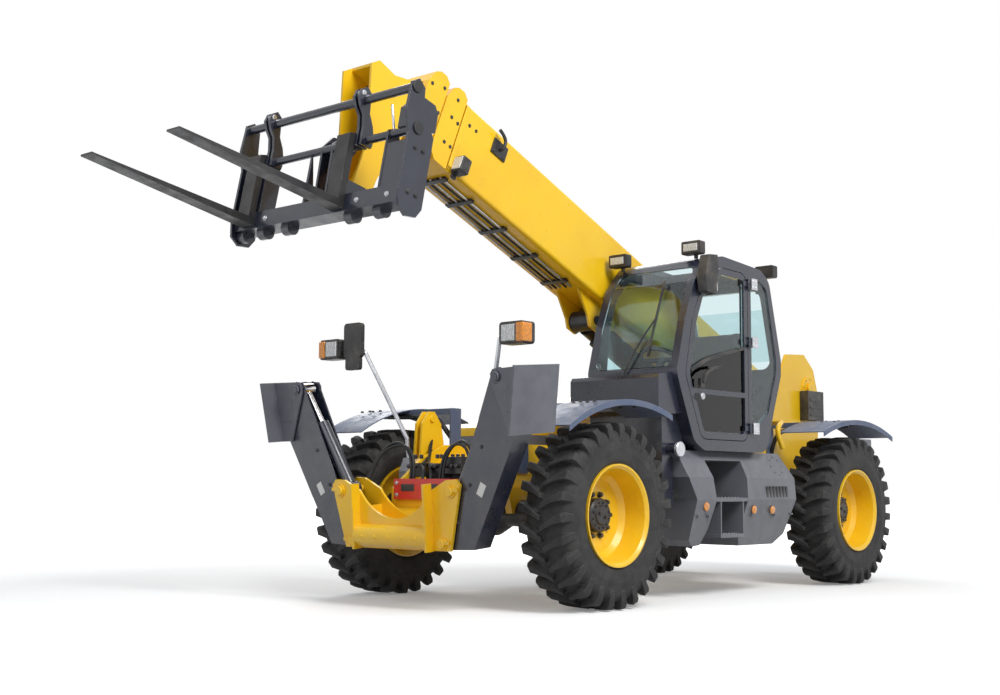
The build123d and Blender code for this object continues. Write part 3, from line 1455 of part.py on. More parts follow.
# ================= engine pod on the right =================
POD_FLOOR_Z = 580.0
POD_SPLIT_Z = 1250.0
POD_FRONT_X = 940.0
POD_REAR_X = -880.0
HOOD_HINGE_RADIUS = 12.0
POD_MID_Y = (POD_INNER_Y + POD_OUTER_Y) / 2
POD_HALF_Y = (POD_INNER_Y - POD_OUTER_Y) / 2
HOOD_OUTLINE = (
    (POD_FRONT_X, POD_SPLIT_Z), (930, 1320), (600, 1430), (0, 1610), (-800, 1620), (-870, 1560),
    (POD_REAR_X, POD_SPLIT_Z),
)
HOOD_INSIDE = (
    (POD_FRONT_X - 10, POD_SPLIT_Z - 1), (922, 1312), (598, 1420), (-1, 1600), (-796, 1610),
    (-861, 1556), (POD_REAR_X + 10, POD_SPLIT_Z - 1),
)
with BuildPart() as engine_pod:
    with BuildSketch(side(POD_MID_Y)):
        with BuildLine():
            Polyline(
                (POD_FRONT_X, POD_SPLIT_Z - CLEAR), (POD_FRONT_X, 860), (700, POD_FLOOR_Z),
                (-600, POD_FLOOR_Z), (POD_REAR_X, 820),
                (POD_REAR_X, POD_SPLIT_Z - CLEAR), close=True,
            )
        make_face()
    extrude(amount=POD_HALF_Y, both=True)
    with BuildSketch(side(POD_MID_Y)):
        with BuildLine():
            Polyline(
                (POD_FRONT_X - 20, POD_SPLIT_Z + 1), (POD_FRONT_X - 20, 868),
                (690, POD_FLOOR_Z + 20), (-590, POD_FLOOR_Z + 20),
                (POD_REAR_X + 20, 828), (POD_REAR_X + 20, POD_SPLIT_Z + 1), close=True,
            )
        make_face()
    extrude(amount=POD_HALF_Y - 20, both=True, mode=Mode.SUBTRACT)
    # groove for the hood's hinge
    with BuildSketch(side(POD_MID_Y)):
        with Locations((POD_REAR_X, POD_SPLIT_Z)):
            Circle(HOOD_HINGE_RADIUS + CLEAR)
    extrude(amount=POD_HALF_Y + 1, both=True, mode=Mode.SUBTRACT)
save(engine_pod, "engine_pod")

with BuildPart() as engine_hood:
    with BuildSketch(side(POD_MID_Y)):
        with BuildLine():
            Polyline(*HOOD_OUTLINE, close=True)
        make_face()
    extrude(amount=POD_HALF_Y, both=True)
    with BuildSketch(side(POD_MID_Y)):
        with BuildLine():
            Polyline(*HOOD_INSIDE, close=True)
        make_face()
    extrude(amount=POD_HALF_Y - 10, both=True, mode=Mode.SUBTRACT)
    # hinge tube along the rear edge
    with BuildSketch(side(POD_MID_Y)):
        with Locations((POD_REAR_X, POD_SPLIT_Z)):
            Circle(HOOD_HINGE_RADIUS)
    extrude(amount=POD_HALF_Y - 2, both=True)
save(engine_hood, "engine_hood")

with BuildPart() as engine_block:
    with BuildSketch(side(POD_MID_Y)):
        with BuildLine():
            Polyline(
                (620, POD_FLOOR_Z + 20 + CLEAR), (620, 1100), (420, 1200), (-420, 1200),
                (-570, 1080), (-570, POD_FLOOR_Z + 20 + CLEAR),
                close=True,
            )
        make_face()
    extrude(amount=POD_HALF_Y - 90, both=True)
save(engine_block, "engine_block")

# ================= left side boxes and steps =================
PANEL_OUTER_Y = 1150.0
PANEL_INNER_Y = RAIL_FACE_Y
FRONT_PANEL_X = 790.0
REAR_PANEL_X = -780.0
FRONT_PANEL = (
    (470, 520),
    (540, 400),
    (640, 392),
    (700, 440),
    (700, 750),
    (780, 910),
    (FRONT_PANEL_X, 1040),
    (760, PANEL_TOP_Z),
    (470, PANEL_TOP_Z),
    (430, 740),
)
REAR_PANEL = (
    (-20, 740),
    (20, 460),
    (-20, 380),
    (-540, 380),
    (-680, 460),
    (-770, 740),
    (REAR_PANEL_X, 910),
    (-700, PANEL_TOP_Z),
    (-60, PANEL_TOP_Z),
)
PANEL_SECTION = (
    (PANEL_INNER_Y, 370),
    (1050, 370),
    (PANEL_OUTER_Y, 740),
    (1130, 910),
    (1020, PANEL_TOP_Z + 1),
    (PANEL_INNER_Y, PANEL_TOP_Z + 1),
)
with BuildPart() as side_panels:
    with BuildSketch(side((PANEL_OUTER_Y + PANEL_INNER_Y) / 2)):
        with BuildLine():
            Polyline(*FRONT_PANEL, close=True)
        make_face()
        with BuildLine():
            Polyline(*REAR_PANEL, close=True)
        make_face()
        with BuildLine():
            Polyline(
                (-71, 1040),
                (471, 1040),
                (471, PANEL_TOP_Z),
                (-71, PANEL_TOP_Z),
                close=True,
            )
        make_face()
    extrude(amount=(PANEL_OUTER_Y - PANEL_INNER_Y) / 2, both=True)
    # folds that run along both panels
    with BuildSketch(front(REAR_PANEL_X)):
        with BuildLine():
            Polyline(*PANEL_SECTION, close=True)
        make_face()
    extrude(amount=FRONT_PANEL_X - REAR_PANEL_X, mode=Mode.INTERSECT)
    # steps and the hanger of the lower one
    with BuildSketch(side(PANEL_OUTER_Y - 130)):
        for step_z, step_length in ((740, 470), (465, 340)):
            with Locations((205, step_z)):
                Rectangle(step_length, 28)
        for hanger_x in (45, 365):
            with Locations((hanger_x, 600)):
                Rectangle(14, 290)
    extrude(amount=125, both=True)
save(side_panels, "side_panels")

# ================= fenders =================
FENDER_INNER_Y = 790.0
FENDER_OUTER_Y = 1215.0
FENDER_SHEET = 8.0
FENDER_LIP = 42.0
FENDER_POST_Z = 930.0
ARM_END_Y = FENDER_INNER_Y + 160
# axle's X, front end (X ahead, Z), crown Z, rear end (X behind, Z)
FENDERS = (
    (FRONT_AXLE_X, 550, TYRE_DIAMETER - 40, TYRE_DIAMETER + 152, 640, TYRE_DIAMETER + 70),
    (REAR_AXLE_X, 600, TYRE_DIAMETER + 30, TYRE_DIAMETER + 148, 690, TYRE_DIAMETER + 20),
)
with BuildPart() as fenders:
    for sign, hand in SIDES:
        for axle_x, ahead, front_z, crown_z, behind, rear_z in FENDERS:
            with BuildSketch(side(sign * (FENDER_INNER_Y + FENDER_OUTER_Y) / 2)):
                with BuildLine():
                    ThreePointArc(
                        (axle_x + ahead, front_z),
                        (axle_x, crown_z),
                        (axle_x - behind, rear_z),
                    )
                    Line((axle_x - behind, rear_z), (axle_x - behind, rear_z - FENDER_SHEET))
                    ThreePointArc(
                        (axle_x - behind, rear_z - FENDER_SHEET),
                        (axle_x, crown_z - FENDER_SHEET),
                        (axle_x + ahead, front_z - FENDER_SHEET),
                    )
                    Line((axle_x + ahead, front_z - FENDER_SHEET), (axle_x + ahead, front_z))
                make_face()
            extrude(amount=(FENDER_OUTER_Y - FENDER_INNER_Y) / 2, both=True)
            # lip turned down along the outer edge
            with BuildSketch(side(sign * (FENDER_OUTER_Y - FENDER_SHEET / 2))):
                with BuildLine():
                    ThreePointArc(
                        (axle_x + ahead, front_z),
                        (axle_x, crown_z),
                        (axle_x - behind, rear_z),
                    )
                    Line((axle_x - behind, rear_z), (axle_x - behind, rear_z - FENDER_LIP))
                    ThreePointArc(
                        (axle_x - behind, rear_z - FENDER_LIP),
                        (axle_x, crown_z - FENDER_LIP),
                        (axle_x + ahead, front_z - FENDER_LIP),
                    )
                    Line((axle_x + ahead, front_z - FENDER_LIP), (axle_x + ahead, front_z))
                make_face()
            extrude(amount=FENDER_SHEET / 2, both=True)
            # post on the rail and the arm that carries the fender
            with BuildSketch(side(sign * (RAIL_FACE_Y + 8))):
                with Locations((axle_x, (FENDER_POST_Z + crown_z - FENDER_SHEET) / 2)):
                    Rectangle(110, crown_z - FENDER_SHEET - FENDER_POST_Z)
            extrude(amount=8, both=True)
            with BuildSketch(side(sign * (RAIL_FACE_Y + ARM_END_Y) / 2)):
                with Locations((axle_x, crown_z - FENDER_SHEET - 22)):
                    Rectangle(70, 46)
            extrude(amount=(ARM_END_Y - RAIL_FACE_Y) / 2, both=True)
save(fenders, "fenders")

# ================= front lamps, mirror and hose guard =================
ARM_DIAMETER = 32.0
LAMP_X = 2510.0
LAMP_WIDTH = 220.0
LAMP_Y = 905.0
LAMP_Z = 1850.0
ARM_FOOT = (2180.0, 400.0, 1020.0)
with BuildPart() as lamp_arms:
    for sign, hand in SIDES:
        bend_y = 740.0 if sign > 0 else 600.0
        with BuildLine():
            FilletPolyline(
                (MID_X + ARM_FOOT[0], sign * ARM_FOOT[1], ARM_FOOT[2]),
                (MID_X + ARM_FOOT[0] + 20, sign * ARM_FOOT[1], 1180),
                (MID_X + LAMP_X - 50, sign * bend_y, LAMP_Z - 20),
                (MID_X + LAMP_X - 50, sign * (LAMP_Y - LAMP_WIDTH / 2 - CLEAR), LAMP_Z - 20),
                radius=30,
            )
        foot = (MID_X + ARM_FOOT[0], sign * ARM_FOOT[1], ARM_FOOT[2])
        with BuildSketch(Plane(origin=foot, z_dir=(20, 0, 160))):
            Circle(ARM_DIAMETER / 2)
        sweep()
        # foot bracket on the outside of the rail
        with BuildSketch(side(sign * (RAIL_FACE_Y + 55))):
            with BuildLine():
                Polyline(
                    (2120, 880), (2240, 880), (2240, 940), (2200, 1040), (2150, 1040), (2120, 960),
                    close=True,
                )
            make_face()
        extrude(amount=55, both=True)
save(lamp_arms, "lamp_arms")

with BuildPart() as headlamps:
    for sign, hand in SIDES:
        with BuildSketch(front(LAMP_X - 90)):
            with Locations((sign * LAMP_Y, LAMP_Z)):
                RectangleRounded(LAMP_WIDTH, 150, 24)
        extrude(amount=110)
save(headlamps, "headlamps")

MIRROR_BACK_X = LAMP_X - 50 + ARM_DIAMETER / 2 + CLEAR
with BuildPart() as front_mirror:
    with BuildSketch(front(MIRROR_BACK_X)):
        with Locations((-675, 1905)):
            RectangleRounded(190, 260, 30)
        with Locations((-675, 1735)):
            RectangleRounded(150, 100, 24)
    extrude(amount=34)
save(front_mirror, "front_mirror")

with BuildPart() as hose_guard:
    with BuildSketch(deck(740 + CLEAR)):
        with Locations((2405, 0)):
            RectangleRounded(105, 560, 16)
    extrude(amount=145)
save(hose_guard, "hose_guard")
print(len(written), "pieces")
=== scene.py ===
import json
import math

import bmesh
import bpy
from mathutils import Matrix, Vector


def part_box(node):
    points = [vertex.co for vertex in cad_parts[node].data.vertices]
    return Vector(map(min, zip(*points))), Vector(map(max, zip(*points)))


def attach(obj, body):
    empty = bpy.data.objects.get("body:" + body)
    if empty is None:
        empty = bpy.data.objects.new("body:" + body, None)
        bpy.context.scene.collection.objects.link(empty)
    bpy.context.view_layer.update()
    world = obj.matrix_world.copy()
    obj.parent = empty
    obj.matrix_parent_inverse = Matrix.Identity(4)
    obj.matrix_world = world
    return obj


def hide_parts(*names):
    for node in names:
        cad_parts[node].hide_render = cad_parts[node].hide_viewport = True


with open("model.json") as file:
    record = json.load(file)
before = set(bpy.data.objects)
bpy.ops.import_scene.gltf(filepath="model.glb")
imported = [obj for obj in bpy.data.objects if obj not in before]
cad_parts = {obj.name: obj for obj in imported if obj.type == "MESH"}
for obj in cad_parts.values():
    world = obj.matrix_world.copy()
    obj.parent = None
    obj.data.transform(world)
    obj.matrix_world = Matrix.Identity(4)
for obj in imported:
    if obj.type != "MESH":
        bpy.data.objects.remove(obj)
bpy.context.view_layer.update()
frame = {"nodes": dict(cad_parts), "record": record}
NODES = frame["nodes"]

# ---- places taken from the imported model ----
def middle(node):
    lo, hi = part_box(node)
    return (Vector(lo) + Vector(hi)) / 2


FRONT_WHEEL = middle("tyre_front_left")
REAR_WHEEL = middle("tyre_rear_left")
MID = (FRONT_WHEEL.x + REAR_WHEEL.x) / 2


def at(x, y, z):
    """Row-frame point from lengths measured from the middle of the wheelbase."""
    return Vector((x + MID, y, z))


def new_object(name, data):
    obj = bpy.data.objects.new(name, data)
    bpy.context.scene.collection.objects.link(obj)
    return obj


# ---- camera and light ----
CAMERA_PLACE = at(9.23, 6.74, 0.84)
CAMERA_YAW, CAMERA_PITCH, CAMERA_ROLL = 221.54, 5.84, 0.27
CAMERA_LENS = 48.6
# name, place, what it faces, size, power in watts
AREA_LIGHTS = (
    ("key", at(3.5, 9.0, 9.5), at(0.5, 0, 1.5), 5.0, 1150),
    ("front", at(11.0, 1.0, 6.0), at(2.0, 0, 1.5), 5.0, 170),
    ("rear", at(-6.0, -8.0, 8.0), at(0, 0, 1.5), 6.0, 500),
)
SKY_COLOUR = (0.93, 0.96, 1.0, 1)
SKY_STRENGTH = 0.4
FLOOR_HALF = 60
FLOOR_DROP = 0.001
# the floor's own glow, from beside the machine to the distance
GLOW_REACH = (4.5, 12.0)
GLOW_STRENGTH = (0.18, 1.0)
# the floor's tone for scattered light, and for rays that see it
FLOOR_LIT = (0.42, 0.42, 0.42, 1)
FLOOR_SEEN = (0.92, 0.92, 0.92, 1)


def add_camera():
    yaw, pitch, roll = (math.radians(angle) for angle in (CAMERA_YAW, CAMERA_PITCH, CAMERA_ROLL))
    ahead = Vector((math.cos(yaw) * math.cos(pitch), math.sin(yaw) * math.cos(pitch), math.sin(pitch)))
    right = Vector((math.sin(yaw), -math.cos(yaw), 0))
    up = right.cross(ahead)
    right, up = (
        right * math.cos(roll) + up * math.sin(roll),
        up * math.cos(roll) - right * math.sin(roll),
    )
    data = bpy.data.cameras.new("camera")
    data.lens = CAMERA_LENS
    data.sensor_width = 36
    data.clip_end = 200
    camera = new_object("camera", data)
    turn = Matrix((right, up, -ahead)).transposed().to_4x4()
    camera.matrix_world = Matrix.Translation(CAMERA_PLACE) @ turn
    bpy.context.scene.camera = camera


def add_area_light(name, place, target, size, power):
    data = bpy.data.lights.new(name, "AREA")
    data.energy = power
    data.size = size
    lamp = new_object(name, data)
    lamp.location = place
    lamp.rotation_euler = (Vector(target) - Vector(place)).to_track_quat("-Z", "Y").to_euler()


def set_range(node, *numbers):
    """Sets what a Map Range node reads from and gives back."""
    for key, number in zip(("From Min", "From Max", "To Min", "To Max"), numbers):
        node.inputs[key].default_value = number


def seen_directly(tree):
    """1 for a camera ray and for rays that metal or glass passes on, 0 for light that is scattered."""
    path = tree.nodes.new("ShaderNodeLightPath")
    total = path.outputs["Is Camera Ray"]
    for ray in ("Is Glossy Ray", "Is Transmission Ray"):
        larger = tree.nodes.new("ShaderNodeMath")
        larger.operation = "MAXIMUM"
        tree.links.new(total, larger.inputs[0])
        tree.links.new(path.outputs[ray], larger.inputs[1])
        total = larger.outputs[0]
    return total


def background(tree, colour, strength):
    node = tree.nodes.new("ShaderNodeBackground")
    node.inputs["Color"].default_value = colour
    node.inputs["Strength"].default_value = strength
    return node.outputs[0]


def add_world():
    world = bpy.data.worlds.new("world")
    world.use_nodes = True
    tree = world.node_tree
    tree.nodes.clear()
    light = background(tree, SKY_COLOUR, SKY_STRENGTH)
    white = background(tree, (1, 1, 1, 1), 1.0)
    mix = tree.nodes.new("ShaderNodeMixShader")
    out = tree.nodes.new("ShaderNodeOutputWorld")
    tree.links.new(seen_directly(tree), mix.inputs[0])
    tree.links.new(light, mix.inputs[1])
    tree.links.new(white, mix.inputs[2])
    tree.links.new(mix.outputs[0], out.inputs["Surface"])
    bpy.context.scene.world = world


def add_floor():
    mesh = bpy.data.meshes.new("floor")
    corners = [(a * FLOOR_HALF, b * FLOOR_HALF, 0) for a, b in ((-1, -1), (1, -1), (1, 1), (-1, 1))]
    mesh.from_pydata(corners, [], [(0, 1, 2, 3)])
    floor = new_object("floor", mesh)
    floor.location.z = -FLOOR_DROP
    mat = bpy.data.materials.new("floor")
    mat.use_nodes = True
    tree = mat.node_tree
    shader = tree.nodes["Principled BSDF"]
    shader.inputs["Roughness"].default_value = 0.9
    shader.inputs["Specular IOR Level"].default_value = 0.1
    seen = seen_directly(tree)
    glow = tree.nodes.new("ShaderNodeMath")
    glow.operation = "MULTIPLY"
    coord = tree.nodes.new("ShaderNodeTexCoord")
    away = tree.nodes.new("ShaderNodeVectorMath")
    away.operation = "LENGTH"
    tree.links.new(coord.outputs["Object"], away.inputs[0])
    fade = tree.nodes.new("ShaderNodeMapRange")
    set_range(fade, *GLOW_REACH, *GLOW_STRENGTH)
    tree.links.new(away.outputs["Value"], fade.inputs["Value"])
    tree.links.new(fade.outputs[0], glow.inputs[1])
    tree.links.new(seen, glow.inputs[0])
    tone = tree.nodes.new("ShaderNodeMix")
    tone.data_type = "RGBA"
    tone.inputs[6].default_value = FLOOR_LIT
    tone.inputs[7].default_value = FLOOR_SEEN
    tree.links.new(seen, tone.inputs["Factor"])
    tree.links.new(tone.outputs[2], shader.inputs["Base Color"])
    tree.links.new(glow.outputs[0], shader.inputs["Emission Strength"])
    shader.inputs["Emission Color"].default_value = (1, 1, 1, 1)
    mesh.materials.append(mat)


bpy.context.scene.view_settings.view_transform = "Standard"
add_camera()
add_world()
add_floor()
for light in AREA_LIGHTS:
    add_area_light(*light)


# ---- materials ----
class Shader:
    """A Principled material with small helpers to build its node tree."""

    def __init__(self, name):
        self.mat = bpy.data.materials.new(name)
        self.mat.use_nodes = True
        self.tree = self.mat.node_tree
        self.bsdf = self.tree.nodes["Principled BSDF"]
        coords = self.tree.nodes.new("ShaderNodeTexCoord")
        self.coords = coords.outputs["Object"]

    def link(self, a, b):
        self.tree.links.new(a, b)

    def put(self, **values):
        for key, value in values.items():
            socket = self.bsdf.inputs[key.replace("_", " ")]
            if isinstance(value, (tuple, float, int)):
                socket.default_value = (*value, 1) if isinstance(value, tuple) else value
            else:
                self.link(value, socket)

    def noise(self, scale, detail=3.0, rough=0.55, stretch=None):
        node = self.tree.nodes.new("ShaderNodeTexNoise")
        node.inputs["Scale"].default_value = scale
        node.inputs["Detail"].default_value = detail
        node.inputs["Roughness"].default_value = rough
        source = self.coords
        if stretch:
            mapping = self.tree.nodes.new("ShaderNodeMapping")
            mapping.inputs["Scale"].default_value = stretch
            self.link(source, mapping.inputs["Vector"])
            source = mapping.outputs["Vector"]
        self.link(source, node.inputs["Vector"])
        return node.outputs["Fac"]

    def ramp(self, value, low, high, start=0.0, end=1.0):
        node = self.tree.nodes.new("ShaderNodeMapRange")
        node.interpolation_type = "SMOOTHSTEP"
        set_range(node, low, high, start, end)
        self.link(value, node.inputs["Value"])
        return node.outputs["Result"]

    def math(self, operation, a, b):
        node = self.tree.nodes.new("ShaderNodeMath")
        node.operation = operation
        node.use_clamp = True
        for socket, value in zip(node.inputs, (a, b)):
            if isinstance(value, float):
                socket.default_value = value
            else:
                self.link(value, socket)
        return node.outputs[0]

    def mix(self, factor, a, b):
        node = self.tree.nodes.new("ShaderNodeMix")
        node.data_type = "RGBA"
        self.link(factor, node.inputs["Factor"])
        for socket, value in ((node.inputs[6], a), (node.inputs[7], b)):
            if isinstance(value, tuple):
                socket.default_value = (*value, 1)
            else:
                self.link(value, socket)
        return node.outputs[2]

    def height(self):
        """Height above the floor, in metres."""
        node = self.tree.nodes.new("ShaderNodeSeparateXYZ")
        self.link(self.coords, node.inputs[0])
        return node.outputs["Z"]

    def edges(self, radius):
        """1 on sharp edges, 0 on flat faces; and the rounded normal."""
        bevel = self.tree.nodes.new("ShaderNodeBevel")
        bevel.samples = 4
        bevel.inputs["Radius"].default_value = radius
        geometry = self.tree.nodes.new("ShaderNodeNewGeometry")
        dot = self.tree.nodes.new("ShaderNodeVectorMath")
        dot.operation = "DOT_PRODUCT"
        self.link(bevel.outputs["Normal"], dot.inputs[0])
        self.link(geometry.outputs["Normal"], dot.inputs[1])
        return self.ramp(dot.outputs["Value"], 0.93, 0.995, 1.0, 0.0), bevel.outputs["Normal"]

    def bump(self, height, strength, distance, normal=None):
        node = self.tree.nodes.new("ShaderNodeBump")
        node.inputs["Strength"].default_value = strength
        node.inputs["Distance"].default_value = distance
        self.link(height, node.inputs["Height"])
        if normal is not None:
            self.link(normal, node.inputs["Normal"])
        self.link(node.outputs["Normal"], self.bsdf.inputs["Normal"])
        return node.outputs["Normal"]


DUST = (0.36, 0.31, 0.24)


def paint(name, colour, shade, worn, rough, coat):
    """Sprayed enamel: slow colour drift, orange peel, rubbed edges, road dust low down."""
    s = Shader(name)
    drift = s.ramp(s.noise(1.7, 4.0), 0.35, 0.7)
    base = s.mix(drift, colour, shade)
    edge, rounded = s.edges(0.004)
    scuff = s.math("MULTIPLY", edge, s.ramp(s.noise(14.0, 5.0, 0.7), 0.5, 0.68))
    base = s.mix(scuff, base, worn)
    low = s.ramp(s.height(), 0.15, 1.5, 0.1, 0.0)
    film = s.math("MULTIPLY", low, s.ramp(s.noise(5.0, 6.0, 0.65), 0.4, 0.7))
    base = s.mix(film, base, DUST)
    s.put(Base_Color=base, Coat_Weight=coat, Coat_Roughness=0.12)
    s.put(Roughness=s.ramp(s.noise(9.0, 5.0), 0.3, 0.75, rough * 0.8, rough * 1.45))
    s.bump(s.noise(90.0, 2.0), 0.05, 0.002, rounded)
    return s.mat


def plastic(name, colour, worn, rough=0.5, grain=700.0, depth=0.12, dust=0.2):
    """Moulded plastic with fine grain, slightly greyed on its edges."""
    s = Shader(name)
    edge, rounded = s.edges(0.004)
    base = s.mix(s.math("MULTIPLY", edge, 0.5), colour, worn)
    film = s.math("MULTIPLY", s.ramp(s.noise(6.0, 6.0, 0.65), 0.42, 0.72), dust)
    base = s.mix(film, base, DUST)
    s.put(Base_Color=base, Roughness=s.ramp(s.noise(11.0, 4.0), 0.3, 0.7, rough * 0.85, rough * 1.25))
    s.bump(s.noise(grain, 2.0), depth, 0.001, rounded)
    return s.mat


def metal(name, colour, rough):
    """Bare or plated metal with fine drawn marks and duller patches."""
    s = Shader(name)
    marks = s.noise(160.0, 2.0, 0.5)
    patch = s.ramp(s.noise(7.0, 5.0), 0.4, 0.7)
    base = s.mix(patch, colour, tuple(c * 0.7 for c in colour))
    rounded = s.edges(0.003)[1]
    s.put(Base_Color=base, Metallic=1.0)
    wear = s.math("ADD", s.math("MULTIPLY", marks, 0.3), s.math("MULTIPLY", patch, 0.4))
    s.put(Roughness=s.ramp(wear, 0.0, 1.0, rough * 0.7, rough * 1.7))
    s.bump(marks, 0.04, 0.001, rounded)
    return s.mat


def rubber(name, colour, dusty, rough=0.8, grain=240.0, depth=0.25, amount=0.55):
    """Tyre or hose rubber, greyed by dust in patches."""
    s = Shader(name)
    film = s.math("MULTIPLY", s.ramp(s.noise(7.0, 7.0, 0.7), 0.38, 0.68), amount)
    edge, rounded = s.edges(0.005)
    base = s.mix(film, colour, dusty)
    base = s.mix(s.math("MULTIPLY", edge, 0.45), base, tuple(c * 1.7 for c in dusty))
    s.put(Base_Color=base, Roughness=s.ramp(film, 0.0, 0.6, rough * 0.85, rough))
    s.put(Specular_IOR_Level=0.35)
    s.bump(s.noise(grain, 3.0), depth, 0.002, rounded)
    return s.mat


def glass(name, tint):
    """Tinted pane, a little uneven and dusty."""
    s = Shader(name)
    s.put(Base_Color=tint, Transmission_Weight=1.0, IOR=1.45)
    s.put(Roughness=s.ramp(s.noise(5.0, 4.0), 0.5, 0.8, 0.02, 0.02 + 0.05))
    s.bump(s.noise(2.0, 1.0), 0.02, 0.002)
    return s.mat


def cloth(name, colour, light):
    """Woven seat cover."""
    s = Shader(name)
    weave = s.noise(900.0, 1.0)
    s.put(Base_Color=s.mix(s.ramp(weave, 0.3, 0.7), colour, light), Roughness=0.92, Sheen_Weight=0.3)
    s.bump(weave, 0.4, 0.001)
    return s.mat


def lens(name, colour):
    """Ribbed lens of a lamp or reflector."""
    s = Shader(name)
    ribs = s.noise(260.0, 0.0, 0.5, (1, 1, 0.2))
    s.put(Base_Color=s.mix(s.ramp(ribs, 0.3, 0.7), colour, tuple(c * 0.6 for c in colour)))
    s.put(Roughness=0.16, Coat_Weight=0.6)
    s.bump(ribs, 0.35, 0.002)
    return s.mat


YELLOW = paint("yellow_paint", (0.96, 0.59, 0.008), (0.9, 0.52, 0.006), (0.45, 0.27, 0.03), 0.33, 0.25)
NAVY = paint("navy_paint", (0.012, 0.015, 0.029), (0.017, 0.021, 0.039), (0.06, 0.07, 0.09), 0.3, 0.5)
GREY = paint("grey_paint", (0.15, 0.157, 0.18), (0.125, 0.132, 0.152), (0.3, 0.3, 0.32), 0.42, 0.15)
SHOE_GREY = paint("shoe_grey", (0.135, 0.14, 0.165), (0.11, 0.115, 0.135), (0.33, 0.33, 0.34), 0.5, 0.05)
BLACK = paint("black_paint", (0.012, 0.012, 0.014), (0.02, 0.02, 0.022), (0.14, 0.13, 0.12), 0.42, 0.1)
FORK_BLACK = paint("fork_black", (0.012, 0.012, 0.014), (0.03, 0.028, 0.027), (0.3, 0.27, 0.24), 0.45, 0.05)
RED = paint("red_paint", (0.62, 0.018, 0.012), (0.5, 0.012, 0.01), (0.2, 0.02, 0.02), 0.35, 0.3)
FENDER = plastic("fender_plastic", (0.085, 0.115, 0.195), (0.3, 0.36, 0.48), 0.45, 500.0, 0.05, 0.15)
TRIM = plastic("black_plastic", (0.014, 0.014, 0.016), (0.06, 0.06, 0.065), 0.45)
CAB_TRIM = plastic("cab_plastic", (0.035, 0.038, 0.045), (0.09, 0.09, 0.1), 0.6)
TYRE = rubber("tyre_rubber", (0.022, 0.022, 0.023), (0.085, 0.082, 0.078))
HOSE = rubber("hose_rubber", (0.008, 0.008, 0.009), (0.03, 0.03, 0.03), 0.5, 400.0, 0.08, 0.3)
CHROME = metal("chrome_rod", (0.82, 0.83, 0.86), 0.13)
STEEL = metal("bare_steel", (0.52, 0.53, 0.56), 0.34)
IRON = paint("engine_iron", (0.1, 0.105, 0.11), (0.07, 0.07, 0.075), (0.2, 0.2, 0.2), 0.6, 0.0)
GLASS = glass("cab_glass", (0.68, 0.84, 0.86))
SEAT_CLOTH = cloth("seat_cloth", (0.012, 0.012, 0.014), (0.035, 0.035, 0.04))
CLEAR_LENS = lens("clear_lens", (0.75, 0.77, 0.78))
AMBER = lens("amber_lens", (0.95, 0.32, 0.01))
SILVER = metal("hinge_plate", (0.62, 0.63, 0.66), 0.42)
WHITE = paint("blank_plate", (0.78, 0.78, 0.76), (0.7, 0.7, 0.68), (0.5, 0.5, 0.5), 0.45, 0.1)
DARK_GLASS = glass("dark_glass", (0.2, 0.25, 0.27))
MIRROR_GLASS = metal("mirror_glass", (0.8, 0.82, 0.84), 0.03)

SLOT_MATERIAL = {
    "yellow_paint": YELLOW,
    "tyre_rubber": TYRE,
    "black_paint": BLACK,
    "grey_paint": GREY,
    "shoe_grey_paint": SHOE_GREY,
    "navy_paint": NAVY,
    "fork_steel": FORK_BLACK,
    "chrome_rod": CHROME,
    "fender_plastic": FENDER,
    "cab_glass": GLASS,
    "seat_cloth": SEAT_CLOTH,
    "cab_plastic": CAB_TRIM,
    "engine_iron": IRON,
    "bare_steel": STEEL,
    "lamp_plastic": TRIM,
    "red_paint": RED,
}
for entry in frame["record"]["subparts"]:
    node = NODES[entry["node"]]
    node.data.materials.clear()
    node.data.materials.append(SLOT_MATERIAL[entry["material_slot"]])

# ---- frames of the moving parts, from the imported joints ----
JOINTS = {joint["name"]: joint for joint in frame["record"]["behaviour"]["joints"]}
AHEAD = Vector((1, 0, 0))
ACROSS = Vector((0, 1, 0))
UP = Vector((0, 0, 1))
HANDS = (("left", 1), ("right", -1))

BOOM_U = Vector(JOINTS["boom_extend"]["axis"])
BOOM_N = Vector((-BOOM_U.z, 0, BOOM_U.x))
# how far the boom's middle line passes below its pivot
PIVOT_ABOVE_BOOM = 0.398
BOOM_FOOT = Vector(JOINTS["boom_lift"]["pos_m"]) - PIVOT_ABOVE_BOOM * BOOM_N

LEG_PIN = Vector(JOINTS["leg_left_swing"]["pos_m"])
LEG_PIN_HEIGHT = 0.46
FRAME_AHEAD = -Vector(JOINTS["leg_left_swing"]["axis"])
FRAME_UP = FRAME_AHEAD.cross(ACROSS)

TILT_PIN = Vector(JOINTS["carriage_tilt"]["pos_m"])
CARRIAGE_LEAN = math.radians(12)
CARRIAGE_OUT = Vector((math.cos(CARRIAGE_LEAN), 0, math.sin(CARRIAGE_LEAN)))
CARRIAGE_UP = Vector((-CARRIAGE_OUT.z, 0, CARRIAGE_OUT.x))
HEEL = TILT_PIN + Vector((0.33, 0, -0.115))


def on_boom(s, t, y):
    """Point on the boom: along it from the pivot, up from its middle line, to the left."""
    return BOOM_FOOT + s * BOOM_U + t * BOOM_N + y * ACROSS


def on_frame(y, h, d):
    """Point on the stabiliser frame: to the left, up from the foot, ahead of its middle."""
    return LEG_PIN + (y - LEG_PIN.y) * ACROSS + (h - LEG_PIN_HEIGHT) * FRAME_UP + d * FRAME_AHEAD


def on_carriage(a, b, y):
    """Point on the carriage: out along the forks, up its back from the heel, to the left."""
    return HEEL + a * CARRIAGE_OUT + b * CARRIAGE_UP + y * ACROSS


